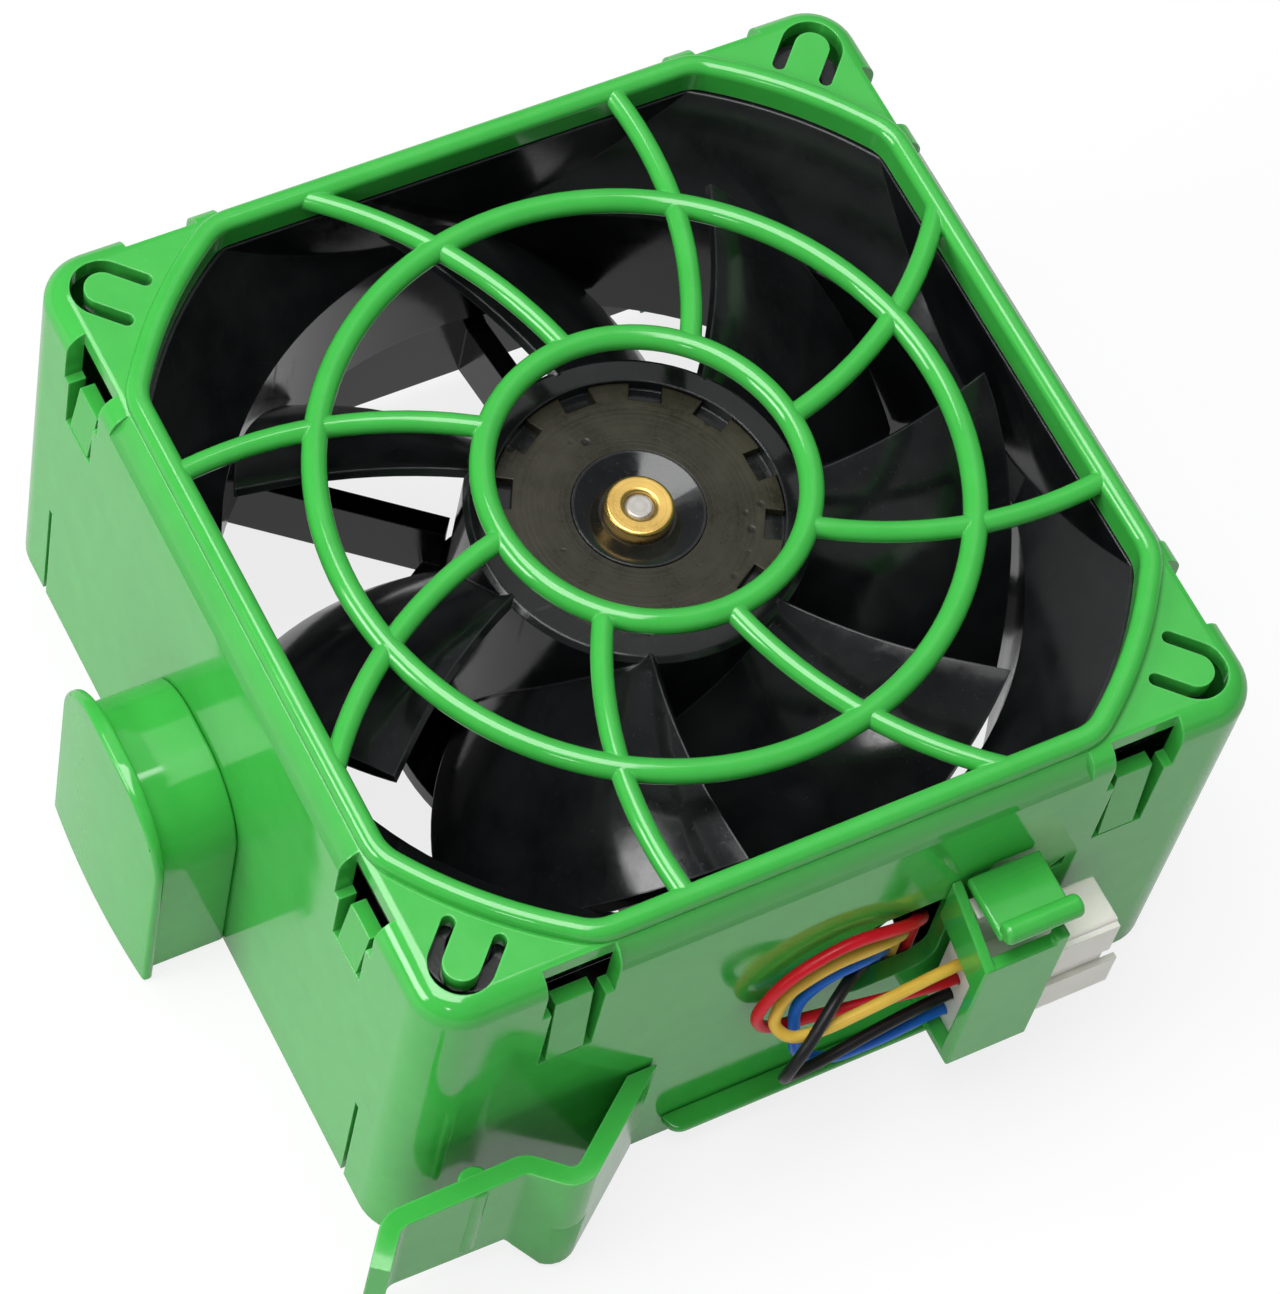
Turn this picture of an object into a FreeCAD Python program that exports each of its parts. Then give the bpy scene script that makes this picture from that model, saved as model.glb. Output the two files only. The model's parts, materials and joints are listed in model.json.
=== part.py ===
"""Hot-swap fan module: an 80 mm axial fan snapped into a moulded carrier.

Millimetres. The origin is on the fan's axis in the plane of the rear rim, +Z points up to the
intake grille, +X is the way the module is pushed in, and -Y is the side with the release latch,
the leads and the connector.
"""
import FreeCAD, Part
import math
import os

V = FreeCAD.Vector
UP = V(0, 0, 1)
TINY = 0.01

# ---- fan envelope ---------------------------------------------------------------------------
fan_side = 80.0
fan_depth = 38.0
fan_corner_r = 4.0
flange_t = 4.0
duct_r = 38.2
duct_wall = 1.6
bell_r = 46.0
bell_depth = 11.0
screw_pitch = 71.5
screw_hole_r = 2.15

# ---- carrier shell --------------------------------------------------------------------------
side_gap = 1.2
wall = 1.8
plate_t = 2.0
plate_gap = 0.2
rear_space = 6.4
corner_r = 5.0
top_round = 2.6
bevel_inset = 1.9
bevel_drop = 2.6
bevel_half_length = 24.2

# ---- intake rim and grille ------------------------------------------------------------------
rim_half = 38.9
rim_r = 46.3
rim_fillet = 4.0
skirt_t = 1.0
bead_w = 2.2
bead_rise = 1.4
bead_round = 1.0
seat_gap = 0.05
inner_ring_r = 15.34
middle_ring_r = 30.73
ring_wire_r = 1.2
spoke_wire_r = 1.05
spoke_count = 8
spoke_start_deg = 2.6
spoke_middle_deg = 13.1
spoke_end_deg = 23.4
spoke_end_r = 44.5

# ---- snap fingers, corner tongues and rear hooks --------------------------------------------
notch_offset = 30.2
latch_notch_offset = 28.0
notch_w = 7.2
finger_w = 3.8
finger_slit = 0.8
finger_t = 1.5
finger_top = 40.2
finger_lean = 0.8
slit_bottom = 34.0
latch_side_slit_bottom = 30.2
tongue_gap = 1.55
tongue_l = 3.3
tongue_pitch_half = 2.4
tongue_slot_w = 1.3
hook_slit_w = 0.6
hook_slit_y = 34.4
hook_slit_h = 15.0
hook_w = 5.0
hook_reach = 2.2
hook_h = 3.4
rear_relief_half = 28.0
rear_relief_h = 6.2

# ---- finger grip ----------------------------------------------------------------------------
grip_y0 = -9.0
grip_y1 = 12.0
grip_h = 29.0
grip_top_r = 9.0
grip_reach = 9.6
grip_plate_t = 1.6
grip_bulge = 0.6
grip_lip = 1.1
grip_top_lip = 2.4
grip_wall = 1.8

# ---- release latch --------------------------------------------------------------------------
latch_t = 2.0
latch_z0 = 3.0
latch_z1 = 19.0
latch_root_x = -19.6
latch_nose_x = -28.4
latch_nose_out = 7.8
latch_valley_x = -32.4
latch_run_out = 4.35
latch_bend_x = -46.4
latch_tail_x = -49.0
latch_tail_out = 8.2
latch_nose_r = 1.9
latch_bend_r = 2.0
latch_bump_x = -37.4
latch_bump_r = 1.3
flex_gap = 0.25

# ---- connector bracket, its clip and the cable ledge ----------------------------------------
bracket_x0 = 11.7
bracket_x1 = 20.6
bracket_out = 8.2
bracket_t = 1.4
bracket_side_t = 1.1
bracket_z0 = 9.8
bracket_z1 = 29.6
bracket_root_z = 33.3
bracket_post_h = 1.1
bracket_post_w = 1.4
window_z1 = 27.0
window_drop = 2.4
clip_t = 1.0
clip_z = 32.6
clip_x0 = 13.1
clip_x1 = 20.9
clip_reach = 7.0
clip_lip_r = 0.9
clip_lip_shift = 0.5
clip_catch_h = 2.0
clip_catch_t = 1.1
relief_x = 23.1
relief_z = 26.8
relief_side = 2.0
ledge_x0 = -14.0
ledge_z0 = 3.6
ledge_t = 1.0
ledge_out = 2.2

# ---- connector ------------------------------------------------------------------------------
plug_gap = 0.3
plug_x1 = 28.2
plug_w = 5.1
plug_h = 13.6
plug_pitch = 3.2
plug_circuits = 4
plug_cell = 2.1
plug_cell_depth = 9.0
plug_rib_t = 0.6
plug_rib_h = 4.9
plug_key_reach = 1.6
plug_tower_h = 6.4
plug_tower_w = 2.1
plug_tower_l = 4.7
terminal_wall = 0.25
terminal_l = 7.5

# ---- leads ----------------------------------------------------------------------------------
lead_r = 0.6
lead_pitch = 1.65
lead_gap = 0.05
lead_bore_gap = 0.1
lead_hole_x0 = 3.0
lead_hole_x1 = 13.4
lead_hole_z0 = 16.0
lead_hole_z1 = 30.2
lead_hole_r = 2.5

# ---- fan rotor ------------------------------------------------------------------------------
blade_count = 7
tip_gap = 0.6
hub_r = 16.5
hub_wall = 1.4
hub_z0 = 12.0
hub_top = 41.6
hub_plate_t = 1.0
hub_recess = 1.4
hub_recess_r = 13.85
hub_cone_r = 6.35
blade_z0 = 19.5
blade_z1 = 41.5
blade_t = 1.7
blade_edge_t = 0.9
blade_camber = 0.38
blade_lead_root = -9.3
blade_lead_tip = 1.3
blade_span_root = 56.5
blade_span_tip = 38.0
disc_gap = 0.05
disc_t = 1.0
disc_slots = 12
disc_slot_w = 3.2
disc_slot_depth = 1.9
bush_r = 3.35
bush_top = 41.9
bush_h = 5.7
shaft_r = 1.5
shaft_z0 = 8.9
shaft_top = 41.75
yoke_t = 0.8
yoke_gap = 0.05
yoke_z0 = 15.0
magnet_t = 1.45
magnet_z0 = 15.5
magnet_z1 = 31.0

# ---- fan stator and bearings ----------------------------------------------------------------
base_t = 2.0
base_r = 21.0
vane_count = 8
vane_start = -23.0
vane_sweep = 29.0
vane_w = 2.2
vane_h = 7.6
channel_angle = -77.0
channel_wall = 1.2
tube_r = 5.1
tube_z0 = 7.0
tube_z1 = 33.8
tube_land_t = 0.4
bearing_r = 4.0
bearing_h = 4.0
lower_bearing_z = 11.0
upper_bearing_z = 29.4
race_outer_in = 3.2
race_inner_out = 2.2
ball_r = 0.62
ball_gap = 0.04
ball_count = 7
slip = 0.02
ring_groove_z = 10.0
ring_groove_t = 0.5
ring_r = 2.6
core_z0 = 17.0
core_z1 = 29.0
core_ring_r = 7.6
pole_w = 3.2
pole_count = 4
air_gap = 0.55
shoe_t = 1.6
shoe_half_deg = 35.0
insulator_t = 1.4
insulator_r = 7.6
insulator_arm_w = 4.2
coil_w = 7.4
coil_inner_gap = 0.1
coil_wind_t = 1.3
coil_r0 = 7.75
coil_r1 = 9.6
board_t = 1.2
board_r = 13.6
board_bore_gap = 0.2
board_post_r = 0.6
chip_l = 5.2
chip_w = 3.6
chip_h = 1.1
sensor_l = 2.6
sensor_w = 1.4
sensor_h = 1.5
capacitor_r = 1.5
capacitor_h = 1.3
resistor_l = 1.6
resistor_w = 1.0
resistor_h = 0.6
label_t = 0.15
label_r = 17.0

# ---- levels and half widths worked out from the sizes above ---------------------------------
fan_z0 = rear_space
fan_z1 = fan_z0 + fan_depth
plate_z0 = fan_z1 + plate_gap
shell_top = plate_z0 + plate_t
crest_z = shell_top + bead_rise
wire_z = crest_z - ring_wire_r
inner_half = fan_side / 2 + side_gap
half = inner_half + wall
tongue_start = rim_r + bead_w + tongue_gap
tongue_centre = tongue_start + tongue_l
magnet_r = hub_r - hub_wall - yoke_gap - yoke_t - yoke_gap
stator_r = magnet_r - magnet_t - air_gap
blade_tip_r = duct_r - tip_gap
bracket_y = half + bracket_out
clip_y = half + clip_reach
plug_x0 = bracket_x0 + bracket_side_t + plug_gap
plug_y1 = bracket_y - bracket_t - plug_gap
plug_y0 = plug_y1 - plug_w
plug_z0 = bracket_z0 + bracket_t + lead_gap
plug_z1 = plug_z0 + plug_h
lead_floor = fan_z0 + base_t
board_z0 = lead_floor + 2 * lead_r + 2 * lead_gap
bush_z0 = bush_top - bush_h


def box(x0, x1, y0, y1, z0, z1):
    return Part.makeBox(x1 - x0, y1 - y0, z1 - z0, V(x0, y0, z0))


def cylinder(radius, z0, z1, x=0.0, y=0.0):
    return Part.makeCylinder(radius, z1 - z0, V(x, y, z0))


def tube(outer, inner, z0, z1):
    return cylinder(outer, z0, z1).cut(cylinder(inner, z0 - 1, z1 + 1))


def revolved(profile):
    """Turn a closed (radius, height) outline round the Z axis."""
    points = [V(radius, 0, height) for radius, height in profile]
    wire = Part.makePolygon(points + points[:1])
    return Part.Face(wire).revolve(V(0, 0, 0), UP, 360)


def slab(points, start, travel):
    """Extrude a closed outline of 3-D points along a travel vector."""
    corners = [start + point for point in points]
    wire = Part.makePolygon(corners + corners[:1])
    return Part.Face(wire).extrude(travel)


def turned(shape, degrees):
    copy = shape.copy()
    copy.rotate(V(0, 0, 0), UP, degrees)
    return copy


def joined(shapes):
    return shapes[0].multiFuse(shapes[1:]) if len(shapes) > 1 else shapes[0]


def edges_along(shape, axis):
    """Straight edges that run along one axis (0, 1 or 2)."""
    found = []
    for edge in shape.Edges:
        if len(edge.Vertexes) < 2:
            continue
        run = edge.Vertexes[1].Point - edge.Vertexes[0].Point
        if run.Length > TINY and abs(abs(run[axis]) - edge.Length) < TINY:
            found.append(edge)
    return found


def edges_at(shape, height):
    """Edges that lie wholly at one height."""
    return [e for e in shape.Edges
            if abs(e.BoundBox.ZMin - height) < TINY and abs(e.BoundBox.ZMax - height) < TINY]


def rounded_square(half_side, radius, z0, z1):
    block = box(-half_side, half_side, -half_side, half_side, z0, z1)
    return block.makeFillet(radius, edges_along(block, 2))


def rim_outline(grow, z0, z1):
    """The intake outline, a square with its corners cut by a circle, grown outwards."""
    side = rim_half + grow
    block = box(-side, side, -side, side, z0, z1).common(cylinder(rim_r + grow, z0, z1))
    return block.makeFillet(rim_fillet + grow, edges_along(block, 2))


def rounded_box(x0, x1, y0, y1, z0, z1, axis, radius):
    block = box(x0, x1, y0, y1, z0, z1)
    return block.makeFillet(radius, edges_along(block, axis))


def rounded_path(points, radii):
    """One wire of straight runs with a tangent arc at each inner point."""
    edges = []
    start = points[0]
    for before, corner, after, radius in zip(points, points[1:], points[2:], radii):
        inward = (before - corner).normalize()
        outward = (after - corner).normalize()
        half_angle = inward.getAngle(outward) / 2
        setback = radius / math.tan(half_angle)
        arc_start = corner + inward * setback
        arc_end = corner + outward * setback
        middle_dir = (inward + outward).normalize()
        centre = corner + middle_dir * (radius / math.sin(half_angle))
        arc_middle = centre - middle_dir * radius
        if (arc_start - start).Length > 1e-4:
            edges.append(Part.LineSegment(start, arc_start).toShape())
        edges.append(Part.Arc(arc_start, arc_middle, arc_end).toShape())
        start = arc_end
    if (points[-1] - start).Length > 1e-4:
        edges.append(Part.LineSegment(start, points[-1]).toShape())
    return Part.Wire(edges)


# ---- carrier --------------------------------------------------------------------------------
def corner_tongue_slot():
    """The U-shaped slot of one corner, drawn along +X and open towards the fan."""
    z0 = plate_z0 - 1
    z1 = shell_top + 1
    half_w = tongue_slot_w / 2
    cuts = []
    for side in (-1, 1):
        middle = side * tongue_pitch_half
        cuts.append(box(tongue_start, tongue_centre, middle - half_w, middle + half_w, z0, z1))
        cuts.append(cylinder(half_w, z0, z1, tongue_start, middle))
    bend = cylinder(tongue_pitch_half + half_w, z0, z1, tongue_centre, 0)
    bend = bend.cut(cylinder(tongue_pitch_half - half_w, z0, z1, tongue_centre, 0))
    reach = tongue_pitch_half + tongue_slot_w
    cuts.append(bend.common(box(tongue_centre, tongue_centre + reach, -reach, reach, z0, z1)))
    return joined(cuts)


def notch_cut(offset, bottom):
    """One snap finger's window and side slits, drawn in the -Y wall."""
    slot = finger_w / 2 + finger_slit
    opening = box(offset - notch_w / 2, offset + notch_w / 2, -half - 1, -inner_half + TINY,
                  finger_top, shell_top + 1)
    slits = box(offset - slot, offset + slot, -half - 1, -inner_half + 1, bottom, finger_top + TINY)
    return opening.fuse(slits)


def snap_finger(offset, bottom):
    """The finger itself: its tip leans inwards until it nearly meets the fan's flange."""
    foot = bottom - finger_t / 2
    outline = [V(0, -half, foot), V(0, -half + finger_lean, finger_top),
               V(0, -half + finger_lean + finger_t, finger_top), V(0, -half + wall, foot)]
    return slab(outline, V(offset - finger_w / 2, 0, 0), V(finger_w, 0, 0))


def bevel_cut():
    """The sloping band along the top of the -Y side, between its two notches."""
    slope = bevel_drop / bevel_inset
    inner_y = -half + bevel_inset
    over = 1.0
    outline = [V(0, inner_y + over, shell_top + over * slope),
               V(0, -half - over, shell_top + over * slope),
               V(0, -half - over, shell_top - bevel_drop - over * slope)]
    return slab(outline, V(-bevel_half_length, 0, 0), V(2 * bevel_half_length, 0, 0))


def rear_hook(side, end):
    """A barb under the fan's rear flange, on the +X or -X wall."""
    top = fan_z0 - plate_gap
    root = inner_half + wall / 2
    outline = [V(side * root, 0, top - hook_h), V(side * root, 0, top),
               V(side * (inner_half - hook_reach), 0, top)]
    start = end * (hook_slit_y - hook_slit_w / 2)
    return slab(outline, V(0, start, 0), V(0, -end * hook_w, 0))


def relief_hole():
    """A small three-cornered hole beside the root of the connector's clip."""
    outline = [V(0, 0, 0), V(relief_side, 0, 0), V(relief_side, 0, relief_side)]
    return slab([V(relief_x, -half - 1, relief_z) + point for point in outline], V(0, 0, 0),
                V(0, wall + 2, 0))


def carrier_shell():
    shell = rounded_square(half, corner_r, 0, shell_top)
    shell = shell.makeFillet(top_round, edges_at(shell, shell_top))
    shell = shell.cut(rounded_square(inner_half, corner_r - wall, -1, plate_z0))
    shell = shell.cut(rim_outline(skirt_t + seat_gap, plate_z0 - 1, shell_top + 1))
    near, far = latch_notch_offset, notch_offset
    places = [(-near, far), (-far, far), (-far, far), (-far, near)]
    cuts = [turned(corner_tongue_slot(), 45 + 90 * corner) for corner in range(4)]
    fingers = []
    for side, offsets in enumerate(places):
        bottom = latch_side_slit_bottom if side == 0 else slit_bottom
        cuts.append(turned(bevel_cut(), 90 * side))
        for offset in offsets:
            cuts.append(turned(notch_cut(offset, bottom), 90 * side))
            fingers.append(turned(snap_finger(offset, bottom), 90 * side))
    for side in (-1, 1):
        for end in (-1, 1):
            x0 = min(side * (inner_half - 1), side * (half + 1))
            y0 = end * hook_slit_y - hook_slit_w / 2
            cuts.append(box(x0, x0 + wall + 2, y0, y0 + hook_slit_w, -1, hook_slit_h))
            fingers.append(rear_hook(side, end))
    cuts.append(rounded_box(lead_hole_x0, lead_hole_x1, -half - 1, -inner_half + 1,
                            lead_hole_z0, lead_hole_z1, 1, lead_hole_r))
    cuts.append(relief_hole())
    cuts.append(box(-rear_relief_half, rear_relief_half, inner_half - 1, half + 1, -1, rear_relief_h))
    shell = shell.cut(joined(cuts))
    return shell.multiFuse(fingers).removeSplitter()


def grille_spoke(index):
    """A curved wire from the inner ring out through the rim, trimmed inside the skirt."""
    base = 360.0 / spoke_count * index
    stations = [(inner_ring_r, spoke_start_deg), (middle_ring_r, spoke_middle_deg),
                (spoke_end_r, spoke_end_deg)]
    points = []
    for radius, degrees in stations:
        angle = math.radians(base + degrees)
        points.append(V(radius * math.cos(angle), radius * math.sin(angle), wire_z))
    arc = Part.Arc(*points)
    tangent = arc.tangent(arc.FirstParameter)[0]
    section = Part.Wire([Part.Circle(points[0], tangent, spoke_wire_r).toShape()])
    return Part.Wire([arc.toShape()]).makePipeShell([section], True, True)


def intake_grille():
    bead = rim_outline(bead_w, shell_top, crest_z).cut(rim_outline(0, shell_top - 1, crest_z + 1))
    bead = bead.makeFillet(bead_round, edges_at(bead, crest_z))
    skirt = rim_outline(skirt_t, plate_z0, shell_top + bead_rise / 4)
    skirt = skirt.cut(rim_outline(0, plate_z0 - 1, crest_z))
    spokes = joined([grille_spoke(index) for index in range(spoke_count)])
    spokes = spokes.common(rim_outline(skirt_t / 2, plate_z0, crest_z + 1))
    rings = [Part.makeTorus(radius, ring_wire_r, V(0, 0, wire_z))
             for radius in (inner_ring_r, middle_ring_r)]
    return bead.multiFuse([skirt, spokes] + rings)


def arch(y0, y1, top, radius, x0, x1):
    """A block along X with a rounded top, standing on the rear plane."""
    block = box(x0, x1, y0, y1, 0, top)
    uppers = [e for e in edges_along(block, 0) if e.BoundBox.ZMin > top / 2]
    return block.makeFillet(radius, uppers)


def finger_grip():
    x_face = -half - grip_reach
    x_plate = x_face + grip_plate_t
    middle = (grip_y0 + grip_y1) / 2
    spread = (grip_y1 - grip_y0) / 2
    bulge_r = (spread ** 2 + grip_bulge ** 2) / (2 * grip_bulge)
    plate = arch(grip_y0, grip_y1, grip_h, grip_top_r, x_face, x_plate)
    plate = plate.common(cylinder(bulge_r, -1, grip_h + 1, x_face + bulge_r, middle))
    stem_top = grip_h - grip_top_lip
    stem_r = grip_top_r - grip_lip
    stem = arch(grip_y0 + grip_lip, grip_y1 - grip_lip, stem_top, stem_r, x_plate, -half)
    inset = grip_lip + grip_wall
    hollow = arch(grip_y0 + inset, grip_y1 - inset, stem_top - grip_wall, stem_r - grip_wall,
                  x_plate, -half)
    return plate.fuse(stem.cut(hollow)).removeSplitter()


def release_latch():
    z_travel = V(0, 0, latch_z1 - latch_z0)
    root_y = -half - flex_gap - latch_t / 2
    run_y = -half - latch_run_out
    points = [V(latch_root_x, root_y, latch_z0),
              V(latch_nose_x, -half - latch_nose_out, latch_z0),
              V(latch_valley_x, run_y, latch_z0),
              V(latch_bend_x, run_y, latch_z0),
              V(latch_tail_x, -half - latch_tail_out, latch_z0)]
    path = rounded_path(points, [latch_nose_r, latch_bend_r, latch_bend_r])
    strip = Part.Face(path.makeOffset2D(latch_t / 2)).extrude(z_travel)
    bump = cylinder(latch_bump_r, latch_z0, latch_z1, latch_bump_x, run_y + latch_t / 2)
    return strip.fuse(bump).removeSplitter()


def connector_bracket():
    y_out = -bracket_y
    y_in = y_out + bracket_t
    outer = box(bracket_x0, bracket_x1, y_out, y_in, bracket_z0, bracket_z1)
    post = box(bracket_x1 - bracket_post_w, bracket_x1, y_out, y_in, bracket_z1,
               bracket_z1 + bracket_post_h)
    floor = box(bracket_x0, bracket_x1, y_in, -half, bracket_z0, bracket_z0 + bracket_t)
    side_outline = [V(0, -half, bracket_z0), V(0, -half, bracket_root_z),
                    V(0, y_out, bracket_z1), V(0, y_out, bracket_z0)]
    side = slab(side_outline, V(bracket_x0, 0, 0), V(bracket_side_t, 0, 0))
    sill = bracket_z0 + bracket_t
    window = [V(0, -half, sill), V(0, -half, window_z1),
              V(0, y_in, window_z1 - window_drop), V(0, y_in, sill)]
    side = side.cut(slab(window, V(bracket_x0 - 1, 0, 0), V(bracket_side_t + 2, 0, 0)))
    return outer.multiFuse([post, floor, side]).removeSplitter()


def connector_clip():
    root = -half - flex_gap
    plate = box(clip_x0, clip_x1, -clip_y, root, clip_z, clip_z + clip_t)
    lip_z = clip_z + clip_t + clip_lip_r / 2
    lip = Part.makeCylinder(clip_lip_r, clip_x1 - clip_x0, V(clip_x0 + clip_lip_shift, -clip_y, lip_z),
                            V(1, 0, 0))
    catch_x = plug_x0 + plug_tower_l + plug_gap
    catch = box(catch_x, catch_x + clip_catch_t, -plug_y0 - plug_tower_w, -plug_y0,
                clip_z - clip_catch_h, clip_z)
    return plate.multiFuse([lip, catch]).removeSplitter()


def cable_ledge():
    ledge = box(ledge_x0, bracket_x1, -half - ledge_out, -half, ledge_z0, ledge_z0 + ledge_t)
    corner = [e for e in edges_along(ledge, 2)
              if e.BoundBox.XMax < ledge_x0 + TINY and e.BoundBox.YMax < -half - TINY]
    return ledge.makeFillet(ledge_out * 0.8, corner)


# ---- connector ------------------------------------------------------------------------------
def circuit_height(index):
    return plug_z0 + plug_h / 2 + (index - (plug_circuits - 1) / 2) * plug_pitch


def connector_housing():
    y_mid = -(plug_y0 + plug_y1) / 2
    body = rounded_box(plug_x0, plug_x1, -plug_y1, -plug_y0, plug_z0, plug_z1, 0, 0.4)
    rib_x = bracket_x1 + plug_gap
    ribs = [box(rib_x, x1, -plug_y1 - plug_rib_t, -plug_y1 + TINY, z0, z0 + plug_rib_h)
            for x1, z0 in ((plug_x1 + plug_key_reach, plug_z0 + 0.4),
                           (plug_x1, plug_z1 - 0.4 - plug_rib_h))]
    tower = box(plug_x0, plug_x0 + plug_tower_l, -plug_y0 - plug_tower_w, -plug_y0,
                plug_z1 - TINY, plug_z1 + plug_tower_h)
    body = body.multiFuse(ribs + [tower])
    cell = plug_cell / 2
    for index in range(plug_circuits):
        z = circuit_height(index)
        mouth = box(plug_x1 - plug_cell_depth, plug_x1 + 1, y_mid - cell, y_mid + cell,
                    z - cell, z + cell)
        bore = Part.makeCylinder(lead_r + lead_bore_gap, plug_x1 - plug_x0, V(plug_x0 - 1, y_mid, z),
                                 V(1, 0, 0))
        body = body.cut(mouth).cut(bore)
    return body.removeSplitter()


def connector_terminals():
    """Four box sockets, each crimped on the end of its lead."""
    y_mid = -(plug_y0 + plug_y1) / 2
    outer = plug_cell / 2 - seat_gap
    inner = outer - terminal_wall
    x1 = plug_x1 - 0.5
    x0 = x1 - terminal_l
    sockets = []
    for index in range(plug_circuits):
        z = circuit_height(index)
        shell = box(x0, x1, y_mid - outer, y_mid + outer, z - outer, z + outer)
        sockets.append(shell.cut(box(x0 + terminal_wall, x1 + 1, y_mid - inner, y_mid + inner,
                                     z - inner, z + inner)))
    return Part.makeCompound(sockets)


def lead_routes():
    """The four leads from under the board to the connector, as lists of points."""
    channel = math.radians(channel_angle)
    along = V(math.cos(channel), math.sin(channel), 0)
    across = V(-along.y, along.x, 0)
    z = lead_floor + lead_r + lead_gap
    y_mid = -(plug_y0 + plug_y1) / 2
    lane_y = -(inner_half - lead_r - lead_gap)
    end_x = plug_x1 - plug_cell_depth - 0.2
    routes = {}
    # name: lane in the channel, circuit in the plug, then the open loop outside the wall
    loops = {
        "lead_red": (3, 2, [(6.9, -44.3, 30.6), (0.3, -44.3, 32.4), (-5.8, -44.4, 29.8),
                            (-8.4, -44.6, 24.4), (-6.6, -44.7, 20.6), (-1.8, -44.7, 19.1),
                            (4.5, -45.8, 19.3)]),
        "lead_yellow": (2, 3, [(4.9, -44.3, 28.6), (-0.9, -44.3, 28.7), (-5.3, -44.4, 26.2),
                               (-6.6, -45.4, 22.9), (-5.3, -46.9, 21.7), (-1.8, -47.4, 21.7),
                               (2.4, -47.4, 22.4), (7.4, -47.2, 22.8)]),
        "lead_blue": (1, 0, [(3.2, -44.3, 26.6), (-1.2, -44.3, 26.0), (-3.9, -44.6, 23.2),
                             (-4.1, -46.4, 19.5), (-3.2, -46.3, 15.6), (0.4, -47.3, 13.3),
                             (6.4, -47.4, 13.4)]),
        "lead_black": (0, 1, [(2.2, -44.4, 24.2), (-0.9, -46.4, 24.3), (-4.4, -48.6, 22.2),
                              (-6.3, -49.1, 18.8), (-5.6, -48.3, 16.0), (-1.6, -47.9, 15.3),
                              (5.0, -47.4, 16.2)]),
    }
    for name, (lane, circuit, loop) in loops.items():
        shift = (lane - 1.5) * lead_pitch
        start = along * (tube_r + 5.2) + across * shift + V(0, 0, z)
        bend = start + along * ((lane_y - start.y) / along.y)
        rise = V(bend.x, lane_y, lead_hole_z0 + 1.0 + lane * 1.9)
        mouth = V(bend.x - 1.2, -half + wall / 3, rise.z + 3.2)
        target = V(end_x, y_mid, circuit_height(circuit))
        outside = [V(*point) for point in loop]
        approach = V(plug_x0 - 1.6, y_mid, target.z)
        routes[name] = [start, bend, rise, mouth] + outside + [approach, target]
    return routes


def bend_radii(points):
    """Each bend's radius: 0.45 of its shorter run, over the tangent of half its turn."""
    radii = []
    for before, corner, after in zip(points, points[1:], points[2:]):
        turn = math.pi - (before - corner).getAngle(after - corner)
        shorter = min((before - corner).Length, (after - corner).Length)
        radii.append(0.45 * shorter / math.tan(max(turn, 0.02) / 2))
    return radii


def lead(name):
    points = lead_routes()[name]
    radii = bend_radii(points)
    path = rounded_path(points, radii)
    section = Part.Wire([Part.Circle(points[0], points[1] - points[0], lead_r).toShape()])
    body = path.makePipeShell([section], True, True)
    expected = math.pi * lead_r ** 2 * path.Length
    print(name, "radii", [round(r, 1) for r in radii], "length", round(path.Length, 1),
          "volume ratio", round(body.Volume / expected, 4))
    return body


# ---- fan frame ------------------------------------------------------------------------------
def bar(width, height):
    """A bar along +X from inside the motor base to beyond the frame, on the rear plane."""
    return box(base_r - 1, bell_r + duct_wall, -width / 2, width / 2, fan_z0, fan_z0 + height)


def outlet_vane(index):
    """A vane slants away from the radius as it leaves the motor base."""
    vane = bar(vane_w, vane_h)
    vane.rotate(V(base_r - 1, 0, 0), UP, vane_sweep)
    return turned(vane, vane_start + index * 360.0 / vane_count)


def duct_profile(radius, flare, z0, z1):
    """A straight duct that flares to a larger radius over the bell depth at each end."""
    return [(0, z0), (flare, z0), (flare, fan_z0), (radius, fan_z0 + bell_depth),
            (radius, fan_z1 - bell_depth), (flare, fan_z1), (flare, z1), (0, z1)]


def fan_frame():
    square = rounded_square(fan_side / 2, fan_corner_r, fan_z0, fan_z1)
    flanges = [rounded_square(fan_side / 2, fan_corner_r, z0, z0 + flange_t)
               for z0 in (fan_z0, fan_z1 - flange_t)]
    outside = duct_profile(duct_r + duct_wall, bell_r + duct_wall, fan_z0 - 1, fan_z1 + 1)
    envelope = revolved(outside).common(square).multiFuse(flanges)
    bore = revolved(duct_profile(duct_r, bell_r, fan_z0 - 2, fan_z1 + 2))
    throat = rim_half - plate_gap
    bore = bore.common(rounded_square(throat, rim_fillet, fan_z0 - 3, fan_z1 + 3))
    frame = envelope.cut(bore)
    # the lead channel takes the place of the vane that would cross it
    channel_w = 4 * lead_pitch + 2 * lead_gap
    bars = [outlet_vane(index) for index in range(vane_count - 1)]
    bars.append(turned(bar(channel_w + 2 * channel_wall, base_t + 1.5 * lead_r), channel_angle))
    bars = [piece.common(envelope) for piece in bars]
    base = cylinder(base_r, fan_z0, fan_z0 + base_t)
    boss = cylinder(tube_r + 1.4, fan_z0, board_z0 - 2 * lead_gap)
    frame = frame.multiFuse(bars + [base, boss])
    for x in (-screw_pitch / 2, screw_pitch / 2):
        for y in (-screw_pitch / 2, screw_pitch / 2):
            frame = frame.cut(cylinder(screw_hole_r, fan_z0 - 1, fan_z1 + 1, x, y))
    frame = frame.cut(cylinder(tube_r, tube_z0, board_z0 + 1))
    trough = box(base_r - 2, half, -channel_w / 2, channel_w / 2, lead_floor,
                 fan_z0 + bell_depth + lead_gap)
    trough = turned(trough, channel_angle)
    trough = trough.common(rounded_square(fan_side / 2 + 1, fan_corner_r, 0, fan_z1))
    return frame.cut(trough).removeSplitter()


def rear_label():
    return cylinder(label_r, fan_z0 - label_t, fan_z0)


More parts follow.
